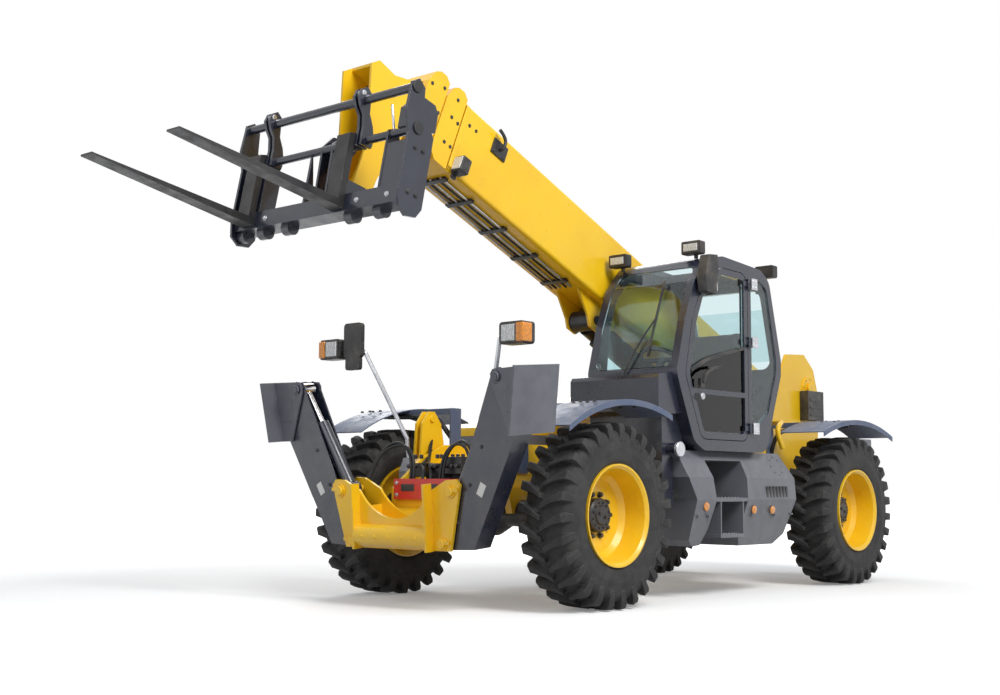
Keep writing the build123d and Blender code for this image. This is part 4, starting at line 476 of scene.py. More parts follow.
# ---- building helpers ----
def round_edges(obj, width, angle):
    """Rounds the edges that are sharper than the angle, in degrees."""
    rounding = obj.modifiers.new("rounding", "BEVEL")
    rounding.width = width
    rounding.segments = 2
    rounding.limit_method = "ANGLE"
    rounding.angle_limit = math.radians(angle)


def piece(name, bm, material, body, bevel=0.0, smooth=0):
    """Makes an object of a finished bmesh and seats it on a body."""
    bmesh.ops.recalc_face_normals(bm, faces=bm.faces)
    mesh = bpy.data.meshes.new(name)
    bm.to_mesh(mesh)
    bm.free()
    obj = new_object(name, mesh)
    mesh.materials.append(material)
    if bevel:
        round_edges(obj, bevel, 35)
    if smooth:
        mesh.polygons.foreach_set("use_smooth", [True] * len(mesh.polygons))
        mesh.set_sharp_from_angle(angle=math.radians(smooth))
    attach(obj, body)
    return obj


def prism(bm, outline, place, depth):
    """Adds a slab: the outline put through place(a, b), and its copy moved by depth."""
    back = [bm.verts.new(place(a, b)) for a, b in outline]
    front = [bm.verts.new(v.co + depth) for v in back]
    bm.faces.new(back)
    bm.faces.new(list(reversed(front)))
    count = len(back)
    for i in range(count):
        j = (i + 1) % count
        bm.faces.new((back[i], back[j], front[j], front[i]))


def block(bm, centre, size, axes=None):
    """Adds a box of that size about its centre, along the given axes."""
    axes = axes or (AHEAD, ACROSS, UP)
    half = [axis * (length / 2) for axis, length in zip(axes, size)]
    corners = [(-1, -1), (1, -1), (1, 1), (-1, 1)]
    prism(bm, corners, lambda a, b: centre + a * half[0] + b * half[1] - half[2], 2 * half[2])


def boxes(name, centres, size, material, body, bevel, axes=None):
    """Makes a piece of boxes of one size."""
    bm = bmesh.new()
    for centre in centres:
        block(bm, centre, size, axes)
    piece(name, bm, material, body, bevel)


def lathe(bm, profile, origin, axis, segments=32):
    """Adds a body of revolution: profile points are (along the axis, radius)."""
    axis = axis.normalized()
    first = axis.orthogonal().normalized()
    second = axis.cross(first)
    rings = []
    for along, radius in profile:
        centre = origin + along * axis
        if radius < 1e-6:
            rings.append([bm.verts.new(centre)])
            continue
        ring = []
        for k in range(segments):
            turn = 2 * math.pi * k / segments
            ring.append(bm.verts.new(centre + radius * (math.cos(turn) * first + math.sin(turn) * second)))
        rings.append(ring)
    for low, high in zip(rings, rings[1:]):
        for k in range(segments):
            j = (k + 1) % segments
            if len(low) == 1:
                bm.faces.new((low[0], high[j], high[k]))
            elif len(high) == 1:
                bm.faces.new((low[k], low[j], high[0]))
            else:
                bm.faces.new((low[k], low[j], high[j], high[k]))


def disc(bm, centre, axis, radius, height, segments=24):
    """Adds a low round boss standing on centre along the axis."""
    edge = min(radius, height) * 0.25
    profile = ((0, 0), (0, radius), (height - edge, radius), (height, radius - edge), (height, 0))
    lathe(bm, profile, centre, axis, segments)


def bolt(bm, centre, axis, across=0.024, height=0.012):
    """Adds a hexagon head on its washer."""
    disc(bm, centre, axis, across * 0.72, height * 0.25, 16)
    washer, shoulder = height * 0.25, height * 0.85
    flank, crest = across / 1.8, across / 2.3
    profile = ((washer, 0), (washer, flank), (shoulder, flank), (height, crest), (height, 0))
    lathe(bm, profile, centre, axis, 6)


def bolt_circle(bm, centre, first, second, radius, count, start, axis, across, height):
    """Adds bolt heads evenly round the circle that two directions span; start is in steps."""
    for k in range(count):
        turn = 2 * math.pi * (k + start) / count
        bolt(bm, centre + radius * (math.cos(turn) * first + math.sin(turn) * second), axis, across, height)


def tube(name, points, radius, material, body):
    """A bent tube: a smooth line led through its route."""
    data = bpy.data.curves.new(name, "CURVE")
    data.dimensions = "3D"
    data.bevel_depth = radius
    data.bevel_resolution = 3
    data.use_fill_caps = True
    data.resolution_u = 12
    spline = data.splines.new("NURBS")
    spline.points.add(len(points) - 1)
    for point, place in zip(spline.points, points):
        point.co = (*place, 1)
    spline.order_u = 3
    spline.use_endpoint_u = True
    obj = new_object(name, data)
    data.materials.append(material)
    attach(obj, body)
    return obj


def hose(name, points, radius, body="chassis"):
    """A hydraulic hose that ends back in the machine."""
    obj = tube(name, points, radius, HOSE, body)
    return obj


# ---- wheels ----
WHEELS = [(end, hand, sign) for end in ("front", "rear") for hand, sign in HANDS]
TYRE_RADIUS = 0.64
LUG_COUNT = 27
# half of the casing's section: distance from the wheel's middle, radius
CASING = (
    (0.126, 0.3305), (0.167, 0.3305), (0.1675, 0.352), (0.176, 0.364), (0.1865, 0.384), (0.1865, 0.392),
    (0.1915, 0.41), (0.1935, 0.45), (0.1935, 0.462), (0.1915, 0.466), (0.1915, 0.5), (0.187, 0.535),
    (0.172, 0.566), (0.145, 0.585), (0.1, 0.594), (0.05, 0.598),
)
# one lug along its run: distance from the middle, radius, place round the tread, half width
LUG_RUN = (
    (0.195, 0.508, 0.03, 0.026),
    (0.1972, 0.54, 0.031, 0.029),
    (0.1972, 0.602, 0.031, 0.031),
    (0.182, 0.633, 0.028, 0.03),
    (0.135, 0.638, 0.016, 0.026),
    (0.09, 0.6392, -0.002, 0.021),
    (0.045, 0.64, -0.024, 0.018),
    (0.002, 0.64, -0.046, 0.016),
)
# the point of the section that the lugs' roots lean towards, how deep they go, how much wider they are
LUG_ROOT = Vector((0.0, 0.47))
LUG_DEPTH = 0.055
LUG_FLARE = 0.007


def round_tyre(centre, sign, y, radius, around):
    """Point of a tyre from its section and its place round the tread."""
    turn = -around / TYRE_RADIUS
    return centre + Vector((radius * math.sin(turn), sign * y, radius * math.cos(turn)))


def add_lug(bm, centre, sign, half, start):
    """Adds one lug to a half of the tread, from its place round the tyre."""
    rows = []
    for y, radius, around, width in LUG_RUN:
        inward = (LUG_ROOT - Vector((y, radius))).normalized() * LUG_DEPTH
        root = (half * (y + inward.x), radius + inward.y)
        crest = (half * y, radius)
        rows.append([
            bm.verts.new(round_tyre(centre, sign, *root, start + around - width - LUG_FLARE)),
            bm.verts.new(round_tyre(centre, sign, *crest, start + around - width)),
            bm.verts.new(round_tyre(centre, sign, *crest, start + around + width)),
            bm.verts.new(round_tyre(centre, sign, *root, start + around + width + LUG_FLARE)),
        ])
    for low, high in zip(rows, rows[1:]):
        for i in range(3):
            bm.faces.new((low[i], low[i + 1], high[i + 1], high[i]))
    bm.faces.new(rows[0])
    bm.faces.new(list(reversed(rows[-1])))


def add_tyre(end, hand, sign):
    centre = middle(f"tyre_{end}_{hand}")
    bm = bmesh.new()
    casing = list(CASING) + [(-y, r) for y, r in reversed(CASING)]
    lathe(bm, casing + casing[:1], centre, sign * ACROSS, 112)
    for half, offset in ((1, 0.0), (-1, 0.5)):
        for k in range(LUG_COUNT):
            add_lug(bm, centre, sign, half, 2 * math.pi * TYRE_RADIUS * (k + offset) / LUG_COUNT)
    obj = piece(f"tyre_{end}_{hand}_tread", bm, TYRE, f"wheel_{end}_{hand}", 0.004, 40)
    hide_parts(f"tyre_{end}_{hand}")


NUT_COUNT = 10
NUT_CIRCLE = 0.148
HUB_BOLT_COUNT = 12
HUB_BOLT_CIRCLE = 0.088
HUB_PLUG_TURNS = (0.4, 3.54)
HUB_PLUG_CIRCLE = 0.035


def add_wheel_fasteners(end, hand, sign):
    centre = middle(f"tyre_{end}_{hand}")
    out = sign * ACROSS
    nuts, cap = bmesh.new(), bmesh.new()
    bolt_circle(nuts, centre - 0.0215 * out, AHEAD, UP, NUT_CIRCLE, NUT_COUNT, 0, out, 0.03, 0.03)
    face = centre + 0.032 * out
    bolt_circle(cap, face, AHEAD, UP, HUB_BOLT_CIRCLE, HUB_BOLT_COUNT, 0.5, out, 0.014, 0.01)
    for turn in HUB_PLUG_TURNS:
        ray = math.cos(turn) * AHEAD + math.sin(turn) * UP
        bolt(cap, centre + 0.044 * out + HUB_PLUG_CIRCLE * ray, out, 0.02, 0.012)
    valve = centre + Vector((0.288, sign * 0.05, -0.03))
    disc(cap, valve, out * 0.8 - 0.6 * AHEAD, 0.009, 0.045, 12)
    piece(f"wheel_nuts_{end}_{hand}", nuts, BLACK, f"wheel_{end}_{hand}")
    piece(f"hub_bolts_{end}_{hand}", cap, BLACK, f"wheel_{end}_{hand}")


for end, hand, sign in WHEELS:
    add_tyre(end, hand, sign)
    add_wheel_fasteners(end, hand, sign)

# ---- rounded edges on the solids whose sheet edges are soft ----
def soften(node, width):
    """Rounds a CAD solid's sharp edges; its own mesh stays as packed."""
    obj = NODES[node]
    weld = obj.modifiers.new("join", "WELD")
    weld.merge_threshold = 0.00005
    round_edges(obj, width, 40)


def on_left(y):
    """Places a side outline (x from the middle of the wheelbase, z) at that distance to the left."""
    return lambda x, z: at(x, y, z)


def strip(bm, line, width, place, depth):
    """Adds a flat band that follows an open line."""
    left, right = [], []
    for i, (x, z) in enumerate(line):
        x0, z0 = line[max(i - 1, 0)]
        x1, z1 = line[min(i + 1, len(line) - 1)]
        length = math.hypot(x1 - x0, z1 - z0)
        nx = -(z1 - z0) / length * width / 2
        nz = (x1 - x0) / length * width / 2
        left.append((x + nx, z + nz))
        right.append((x - nx, z - nz))
    for i in range(len(line) - 1):
        prism(bm, (left[i], left[i + 1], right[i + 1], right[i]), place, depth)


def smooth_line(points, steps=6):
    """Points along a smooth curve through the given ones."""
    line = []
    padded = [points[0], *points, points[-1]]
    for i in range(1, len(padded) - 2):
        p0, p1, p2, p3 = (Vector(p) for p in padded[i - 1:i + 3])
        for k in range(steps):
            t = k / steps
            square = (2 * p0 - 5 * p1 + 4 * p2 - p3) * t * t
            cube = (3 * p1 - p0 - 3 * p2 + p3) * t ** 3
            line.append(tuple(0.5 * (2 * p1 + (p2 - p0) * t + square + cube)))
    line.append(tuple(points[-1]))
    return line


# ---- cab door ----
CAB_SIDE_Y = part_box("cab_frame")[1][1]
# curved line that parts the dark lower pane from the clear upper one: x, z
DIVIDE = ((0.815, 1.655), (0.62, 1.745), (0.433, 1.82), (0.07, 1.905), (-0.12, 1.945))
DIVIDE_WIDTH = 0.026
# the dark pane below that line: its back and front x, and its lower corners
PANE_BACK = -0.07
PANE_FRONT = 0.69
PANE_FOOT = ((PANE_BACK, 1.93), (PANE_BACK, 1.26), (0.51, 1.26), (PANE_FRONT, 1.67))
HANDLE = ((0.6, 1.62), (0.56, 1.69), (0.46, 1.74), (0.34, 1.76))
HANDLE_WIDTH = 0.022
HINGE_X = -0.18
HINGE_HEIGHTS = (1.3, 1.99, 2.46)


def add_door():
    glass_y = middle("door_glass").y
    divide = smooth_line(DIVIDE)
    bm = bmesh.new()
    outline = [(x, z) for x, z in divide if PANE_BACK < x < PANE_FRONT] + list(PANE_FOOT)
    prism(bm, outline, on_left(glass_y + 0.006), -0.002 * ACROSS)
    piece("door_dark_film", bm, DARK_GLASS, "cab_door")
    bm = bmesh.new()
    inside = [point for point in divide if PANE_BACK - 0.01 < point[0] < PANE_FRONT + 0.01]
    strip(bm, inside, DIVIDE_WIDTH, on_left(glass_y + 0.005), 0.022 * ACROSS)
    piece("door_divide", bm, TRIM, "cab_door", 0.003)
    bm = bmesh.new()
    strip(bm, smooth_line(HANDLE), HANDLE_WIDTH, on_left(CAB_SIDE_Y + 0.012), 0.02 * ACROSS)
    foot_x, foot_z = HANDLE[0]
    block(bm, at(foot_x, CAB_SIDE_Y + 0.004, foot_z), (0.05, 0.03, 0.07))
    piece("door_handle", bm, TRIM, "cab_door", 0.005)
    bm = bmesh.new()
    disc(bm, at(0.585, CAB_SIDE_Y - 0.002, 1.52), ACROSS, 0.026, 0.014, 32)
    piece("door_lock", bm, SILVER, "cab_door")
    bm = bmesh.new()
    for z in HINGE_HEIGHTS:
        block(bm, at(HINGE_X, CAB_SIDE_Y + 0.01, z), (0.085, 0.005, 0.09))
        for dx in (-0.025, 0.02):
            for dz in (-0.025, 0.025):
                bolt(bm, at(HINGE_X + dx, CAB_SIDE_Y + 0.012, z + dz), ACROSS, 0.016, 0.008)
    piece("hinge_plates", bm, SILVER, "chassis", 0.001)


# ---- wiper ----
WIPER_FOOT = at(0.9, 0.62, 1.66)
WIPER_TIP = at(0.762, 0.83, 2.12)
BLADE_LENGTH = 0.62
# the windscreen's slope, which the blade lies along
BLADE_ALONG = Vector((-0.108, 0.02, 0.345)).normalized()


def add_wiper():
    elbow = WIPER_FOOT + Vector((0.015, 0.03, 0.12))
    tube("wiper_arm", (WIPER_FOOT, elbow, WIPER_TIP), 0.007, TRIM, "chassis")
    axes = (BLADE_ALONG, ACROSS, BLADE_ALONG.cross(ACROSS))
    size = (BLADE_LENGTH, 0.014, 0.02)
    boxes("wiper_blade", [WIPER_TIP - 0.005 * AHEAD], size, TRIM, "chassis", 0.003, axes)
    bm = bmesh.new()
    disc(bm, WIPER_FOOT - 0.02 * AHEAD, AHEAD, 0.03, 0.035)
    piece("wiper_motor_cap", bm, TRIM, "chassis")


# ---- lamps and mirrors ----
def lamp_face(name, centre, ahead, size, rim=0.018):
    """Clear lens in its dark surround, on the front of a lamp housing."""
    axes = (ACROSS, UP, ahead)
    width, height = size
    outer = (width, height, 0.008)
    inner = (width - 2 * rim, height - 2 * rim, 0.012)
    boxes(f"{name}_surround", [centre + 0.004 * ahead], outer, TRIM, "chassis", 0.003, axes)
    boxes(f"{name}_lens", [centre + 0.008 * ahead], inner, CLEAR_LENS, "chassis", 0.005, axes)


# name, centre of the front, the way it faces
ROOF_LAMPS = (
    ("roof_lamp_left", at(0.485, 0.97, 2.69), AHEAD),
    ("roof_lamp_right", at(0.575, 0.33, 2.64), AHEAD),
    ("roof_lamp_rear", at(-0.675, 0.975, 2.63), -AHEAD),
)
ROOF_LAMP_FACE = (0.165, 0.095)
HEADLAMP_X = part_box("headlamps")[1][0]
HEADLAMP_Z = 1.85
HEADLAMP_FACE = (0.14, 0.135)
FRONT_MIRROR_X = Vector(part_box("front_mirror")[0]).x
FRONT_MIRROR_Y = -0.675
# the front mirror's panes: middle z, width, height
FRONT_PANES = ((1.905, 0.16, 0.23), (1.735, 0.125, 0.08))
# the cab mirror's panes: lowest and highest z
CAB_PANES = ((2.33, 2.45), (2.46, 2.57))


def add_lamps():
    for name, place, ahead in ROOF_LAMPS:
        lamp_face(name, place, ahead, ROOF_LAMP_FACE)
    for hand, sign in HANDS:
        centre = Vector((HEADLAMP_X, sign * 0.88, HEADLAMP_Z))
        lamp_face(f"headlamp_{hand}", centre, AHEAD, HEADLAMP_FACE, 0.012)
        centre = Vector((HEADLAMP_X - 0.035, sign * 0.983, HEADLAMP_Z))
        boxes(f"side_lens_{hand}", [centre], (0.1, 0.07, 0.13), AMBER, "chassis", 0.012)


def add_mirrors():
    bm = bmesh.new()
    for z, width, height in FRONT_PANES:
        block(bm, Vector((FRONT_MIRROR_X - 0.001, FRONT_MIRROR_Y, z)), (0.006, width, height))
    piece("front_mirror_glass", bm, MIRROR_GLASS, "chassis", 0.002)
    bm = bmesh.new()
    for low, high in CAB_PANES:
        block(bm, at(0.468, 1.165, (low + high) / 2), (0.008, 0.066, high - low))
    piece("cab_mirror_glass", bm, MIRROR_GLASS, "cab_door", 0.002)


# ---- seat ----
CAB_MID_Y = middle("seat").y
FILL_STEPS = 14
FILL_PRESSURE = 3.0
# how far the filled cloth may stand proud of the foam's plain block
FILL_LIMIT = 0.014
SEAT_UP = Vector((0.02, 0, 1)).normalized()
BACK_UP = Vector((-0.19, 0, 0.98)).normalized()
# pedestal below the seat: along its axis, radius
PEDESTAL = ((0, 0.0), (0, 0.17), (0.06, 0.15), (0.2, 0.12), (0.3, 0.15), (0.335, 0.16), (0.335, 0))


def fill_with_cloth(obj, centre, size, axes):
    """Swells a cushion by a short cloth run, then trims it to the limit."""
    swell = obj.modifiers.new("fill", "CLOTH")
    swell.settings.use_pressure = True
    swell.settings.uniform_pressure_force = FILL_PRESSURE
    swell.settings.effector_weights.gravity = 0
    swell.settings.shrink_min = -0.03
    swell.point_cache.frame_end = FILL_STEPS
    scene = bpy.context.scene
    for step in range(1, FILL_STEPS + 1):
        scene.frame_set(step)
    with bpy.context.temp_override(object=obj, active_object=obj, selected_objects=[obj]):
        bpy.ops.object.modifier_apply(modifier="fill")
    scene.frame_set(1)
    for vertex in obj.data.vertices:
        offset = vertex.co - centre
        for axis, length in zip(axes, size):
            reach = offset.dot(axis)
            limit = length / 2 + FILL_LIMIT
            if abs(reach) > limit:
                vertex.co -= axis * (reach - math.copysign(limit, reach))
    obj.modifiers.new("smooth", "SUBSURF").render_levels = 1


def cushion(name, centre, size, up):
    """A foam cushion; its size is given along its own ahead, across and up."""
    axes = (up.cross(ACROSS) * -1, ACROSS, up)
    bm = bmesh.new()
    block(bm, centre, size, axes)
    bmesh.ops.subdivide_edges(bm, edges=bm.edges[:], cuts=14, use_grid_fill=True)
    obj = piece(name, bm, SEAT_CLOTH, "chassis", 0.0, 60)
    fill_with_cloth(obj, centre, size, axes)


def add_seat():
    cushion("seat_base", at(-0.08, CAB_MID_Y, 1.565), (0.46, 0.45, 0.11), SEAT_UP)
    cushion("seat_back", at(-0.29, CAB_MID_Y, 1.85), (0.1, 0.44, 0.48), BACK_UP)
    bm = bmesh.new()
    lathe(bm, PEDESTAL, at(-0.06, CAB_MID_Y, 1.17), UP, 32)
    block(bm, at(-0.1, CAB_MID_Y, 1.5), (0.42, 0.4, 0.03))
    for sign in (-1, 1):
        block(bm, at(-0.13, CAB_MID_Y + sign * 0.235, 1.68), (0.28, 0.05, 0.04))
    pedestal = piece("seat_pedestal", bm, CAB_TRIM, "chassis", 0.008)
    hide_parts("seat")


# ---- side panels ----
PANEL_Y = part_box("side_panels")[1][1]
STEPS_X = 0.205
# top of each step's tread, its length
STEPS = ((0.756, 0.44), (0.481, 0.33))
TREAD_COLUMNS = 9
TREAD_ROWS = 3
REFLECTORS = ((0.563, 0.69), (-0.12, 0.66), (-0.401, 0.655))
COVER_FACING = Vector((0, 1, 0.45))
COVER_PLACE = at(-0.57, 1.06, 1.0)
PANEL_BOLTS_X = (-0.72, -0.45, -0.1, 0.52, 0.66)


def add_side_details():
    bm = bmesh.new()
    for top, length in STEPS:
        for i in range(TREAD_COLUMNS):
            x = STEPS_X - length / 2 + (i + 0.5) * length / TREAD_COLUMNS
            for j in range(TREAD_ROWS):
                block(bm, at(x, 1.09 - j * 0.07, top), (0.022, 0.045, 0.008))
    piece("step_treads", bm, STEEL, "chassis", 0.002)
    bm = bmesh.new()
    for x, z in REFLECTORS:
        profile = ((0, 0), (0, 0.034), (0.008, 0.03), (0.01, 0))
        lathe(bm, profile, at(x, 1.1395, z), Vector((0, 1, -0.14)), 24)
    piece("amber_reflectors", bm, AMBER, "chassis")
    bm = bmesh.new()
    disc(bm, COVER_PLACE, COVER_FACING, 0.105, 0.02, 40)
    out = COVER_FACING.normalized()
    bolt_circle(bm, COVER_PLACE + 0.02 * out, AHEAD, out.cross(AHEAD), 0.08, 8, 0, out, 0.014, 0.008)
    for x in PANEL_BOLTS_X:
        bolt(bm, at(x, PANEL_Y - 0.0305, 0.62), ACROSS, 0.018, 0.02)
    piece("panel_cover", bm, GREY, "chassis")
    vents = [at(-0.62 + 0.05 * i, PANEL_Y - 0.006, 0.8) for i in range(7)]
    boxes("panel_vents", vents, (0.028, 0.012, 0.09), TRIM, "chassis", 0.004)
    bm = bmesh.new()
    profile = ((0, 0.03), (0.0, 0.056), (0.022, 0.058), (0.03, 0.05), (0.03, 0))
    lathe(bm, profile, at(0.85, 1.083, 1.115), ACROSS, 32)
    piece("filler_cap", bm, SILVER, "chassis", 0.003)


# ---- fenders ----
FENDER_CROWN = {"front": 1.432, "rear": 1.428}
# how fast the fender falls away from its crown
FENDER_FALL = 0.29
FENDER_BOLTS_X = (-0.3, -0.22, 0.16, 0.24)
FENDER_BOLTS_Y = (1.0, 1.12)


def add_fender_details(end, hand, sign):
    axle_x = FRONT_WHEEL.x if end == "front" else REAR_WHEEL.x
    crown = FENDER_CROWN[end]
    bm = bmesh.new()
    for dx in FENDER_BOLTS_X:
        for y in FENDER_BOLTS_Y:
            top = crown - FENDER_FALL * dx * dx - 0.012
            bolt(bm, Vector((axle_x + dx, sign * y, top)), UP, 0.022, 0.014)
    piece(f"fender_bolts_{end}_{hand}", bm, TRIM, "chassis")
    back = Vector((axle_x + 0.04, sign * 0.4, 1.36))
    route = (
        Vector((axle_x - 0.02, sign * 0.345, 1.15)),
        back - 0.1 * UP,
        back + Vector((0, sign * 0.1, 0.01)),
        Vector((axle_x + 0.04, sign * 1.0, crown - 0.06)),
        Vector((axle_x + 0.04, sign * 1.15, crown - 0.045)),
    )
    tube(f"fender_stay_{end}_{hand}", route, 0.02, BLACK, "chassis")


# ---- hose guard and valves ----
GUARD_LO, GUARD_HI = (Vector(corner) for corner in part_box("hose_guard"))
# centre and size of each valve block
VALVES = (
    (at(2.29, 0.2, 0.98), (0.1, 0.16, 0.12)),
    (at(2.29, 0.02, 0.95), (0.09, 0.12, 0.09)),
    (at(2.24, -0.19, 0.95), (0.09, 0.13, 0.1)),
)
VALVE_PORTS_Y = (0.15, 0.2, 0.25, 0.0, 0.04, -0.16, -0.22)
SHELVES = (
    (at(2.26, 0.2, 0.865), (0.2, 0.2, 0.012)),
    (at(2.26, -0.1, 0.865), (0.2, 0.36, 0.012)),
    (at(2.2, 0.1, 0.9), (0.012, 0.6, 0.08)),
)


def add_guard_and_valves():
    slot_z = (GUARD_LO.z + GUARD_HI.z) / 2 + 0.01
    slots = [Vector((GUARD_HI.x, y, slot_z)) for y in (-0.13, 0.1)]
    boxes("guard_slots", slots, (0.006, 0.13, 0.05), TRIM, "chassis", 0.002)
    bm = bmesh.new()
    for y in (-0.24, 0.24):
        for z in (GUARD_HI.z - 0.03, GUARD_LO.z + 0.03):
            bolt(bm, Vector((GUARD_HI.x, y, z)), AHEAD, 0.02, 0.012)
    piece("guard_bolts", bm, STEEL, "chassis")
    bm = bmesh.new()
    for centre, size in VALVES:
        block(bm, centre, size)
    for y in VALVE_PORTS_Y:
        disc(bm, at(2.34, y, 0.975), AHEAD, 0.016, 0.03, 12)
        disc(bm, at(2.29, y, 1.03), UP, 0.014, 0.03, 12)
    piece("valve_blocks", bm, BLACK, "chassis", 0.004)
    bm = bmesh.new()
    for centre, size in SHELVES:
        block(bm, centre, size)
    piece("valve_shelf", bm, BLACK, "chassis", 0.003)


# ---- hoses ----
LEG_HOSE_RADIUS = 0.011
CROSS_HOSE_RADIUS = 0.013
# from the guard over the frame to the upper pins' bosses: y at the guard, arch y and z, end y and h
LEG_HOSES = (
    (0.13, 0.28, 1.15, 0.5, 0.83),
    (0.16, 0.33, 1.18, 0.535, 0.795),
)
# from the guard to the ear plate on the right, low under the boom
CROSS_HOSES = (
    (at(2.42, -0.02, 0.88), at(2.38, -0.04, 0.96), at(2.27, -0.19, 0.98), at(2.09, -0.3, 1.03),
     at(1.97, -0.375, 1.1)),
    (at(2.39, 0.03, 0.88), at(2.35, 0.0, 0.99), at(2.22, -0.16, 0.99), at(2.07, -0.3, 1.03),
     at(1.97, -0.375, 1.18)),
)


def add_hoses():
    for hand, sign in HANDS:
        for k, (y0, arch_y, arch_z, end_y, end_h) in enumerate(LEG_HOSES):
            boss = on_frame(sign * end_y, end_h, -0.118)
            route = (
                at(2.4, sign * y0, 0.88),
                at(2.38, sign * (y0 - 0.01 * k), 1.05),
                at(2.375, sign * arch_y, arch_z),
                boss + Vector((-0.05, -sign * 0.03, 0.22)),
                boss,
            )
            hose(f"hose_{hand}_leg_{k}", route, LEG_HOSE_RADIUS)
    for k, route in enumerate(CROSS_HOSES):
        hose(f"hose_cross_{k}", route, CROSS_HOSE_RADIUS)


# ---- stabiliser frame and legs ----
# lower and upper pin: to the side, up
FRAME_PINS = ((0.44, 0.46), (0.54, 0.81))
BOSS_FACE = 0.122
TUBE_PLUGS_Y = (-0.26, -0.13, 0.0, 0.13, 0.26)
LEG_TIP = (0.985, 1.55)
LEG_BOLT_HEIGHTS = (0.6, 0.85, 1.1)


def add_frame_pins():
    bm = bmesh.new()
    for sign in (-1, 1):
        for face in (1, -1):
            for y, h in FRAME_PINS:
                disc(bm, on_frame(sign * y, h, face * BOSS_FACE), face * FRAME_AHEAD, 0.034, 0.015, 28)
                keeper = on_frame(sign * (y + 0.052), h + 0.01, face * (BOSS_FACE + 0.004))
                block(bm, keeper, (0.05, 0.026, 0.008), (ACROSS, FRAME_UP, FRAME_AHEAD))
    for y in TUBE_PLUGS_Y:
        disc(bm, on_frame(y, 0.5, 0.185), FRAME_AHEAD, 0.012, 0.012, 16)
    piece("frame_pin_heads", bm, YELLOW, "chassis", 0.002)


def add_leg_details(hand, sign):
    tip_y, tip_h = LEG_TIP
    bm = bmesh.new()
    for face in (1, -1):
        disc(bm, on_frame(sign * tip_y, tip_h, face * 0.0805), face * FRAME_AHEAD, 0.048, 0.02, 28)
    piece(f"leg_tip_bosses_{hand}", bm, NAVY, f"leg_{hand}")
    lean = (on_frame(sign * 1.11, 1.17, 0) - on_frame(sign * 0.7, 0.425, 0)).normalized()
    axes = (lean, lean.cross(FRAME_AHEAD).normalized(), FRAME_AHEAD)
    centre = on_frame(sign * 0.79, 0.82, 0.081)
    boxes(f"leg_plate_{hand}", [centre], (0.09, 0.055, 0.0015), WHITE, f"leg_{hand}", 0, axes)
    bm = bmesh.new()
    for h in LEG_BOLT_HEIGHTS:
        y = 0.5 + (h - 0.6) * 0.48 + 0.07
        bolt(bm, on_frame(sign * y, h, 0.08), FRAME_AHEAD, 0.02, 0.01)
    piece(f"leg_bolts_{hand}", bm, BLACK, f"leg_{hand}")
    bm = bmesh.new()
    for face in (1, -1):
        disc(bm, on_frame(sign * tip_y, tip_h, face * 0.1015), face * FRAME_AHEAD, 0.033, 0.014, 24)
        plate = on_frame(sign * 1.1, 1.4, face * 0.0985)
        block(bm, plate, (0.1, 0.16, 0.004), (ACROSS, FRAME_UP, FRAME_AHEAD))
    piece(f"shoe_plates_{hand}", bm, SHOE_GREY, f"shoe_{hand}", 0.002)


# ---- boom ----
BOOM_AXES = (BOOM_U, ACROSS, BOOM_N)
BOOM_FLAT_AXES = (BOOM_U, BOOM_N, ACROSS)
# wear-pad plugs on each section's collar: along the boom, up from its middle
COLLAR_PLUGS = (
    ("boom_section_3",
     ((5.359, 0.039), (5.287, 0.036), (5.352, -0.091), (5.276, -0.092), (5.42, 0.2), (5.3, 0.24))),
    ("boom_section_2", ((5.157, 0.087), (5.086, 0.079), (5.152, -0.121), (5.086, -0.121), (5.15, 0.24))),
    ("boom", ((4.973, 0.138), (4.898, 0.14), (4.97, -0.14), (4.9, -0.14))),
)
MOUTH_S = 5.03
TOP_PLATES_S = (0.6, 1.7, 2.35)
BOOM_LAMP = at(2.33, 0.25, 3.11)
HOOK = on_boom(4.63, 0.15, 0.2)
PIPES_Y = (-0.12, -0.075, -0.03, 0.03, 0.075)
PIPE_STATIONS = (3.35, 4.1, 4.98)
# 0.2 radians, in steps of the eight bolts
PIVOT_BOLT_START = 0.8 / math.pi
CLAMP_STATIONS = (3.45, 3.85, 4.25, 4.65, 4.95)


def add_collar_plugs():
    for body, plugs in COLLAR_PLUGS:
        bm = bmesh.new()
        for s, t in plugs:
            for sign in (-1, 1):
                disc(bm, on_boom(s, t, sign * 0.1995), sign * ACROSS, 0.0135, 0.006, 20)
        piece(f"wear_pad_plugs_{body}", bm, BLACK, body)


def add_boom_bands():
    bm = bmesh.new()
    for sign in (-1, 1):
        block(bm, on_boom(MOUTH_S, 0, sign * 0.2), (0.045, 0.012, 0.52), BOOM_AXES)
    for t in (-0.28, 0.28):
        block(bm, on_boom(MOUTH_S, t, 0), (0.045, 0.012, 0.36), BOOM_FLAT_AXES)
    for s in TOP_PLATES_S:
        block(bm, on_boom(s, 0.283, 0), (0.14, 0.01, 0.22), BOOM_FLAT_AXES)
    piece("boom_bands", bm, YELLOW, "boom", 0.003)


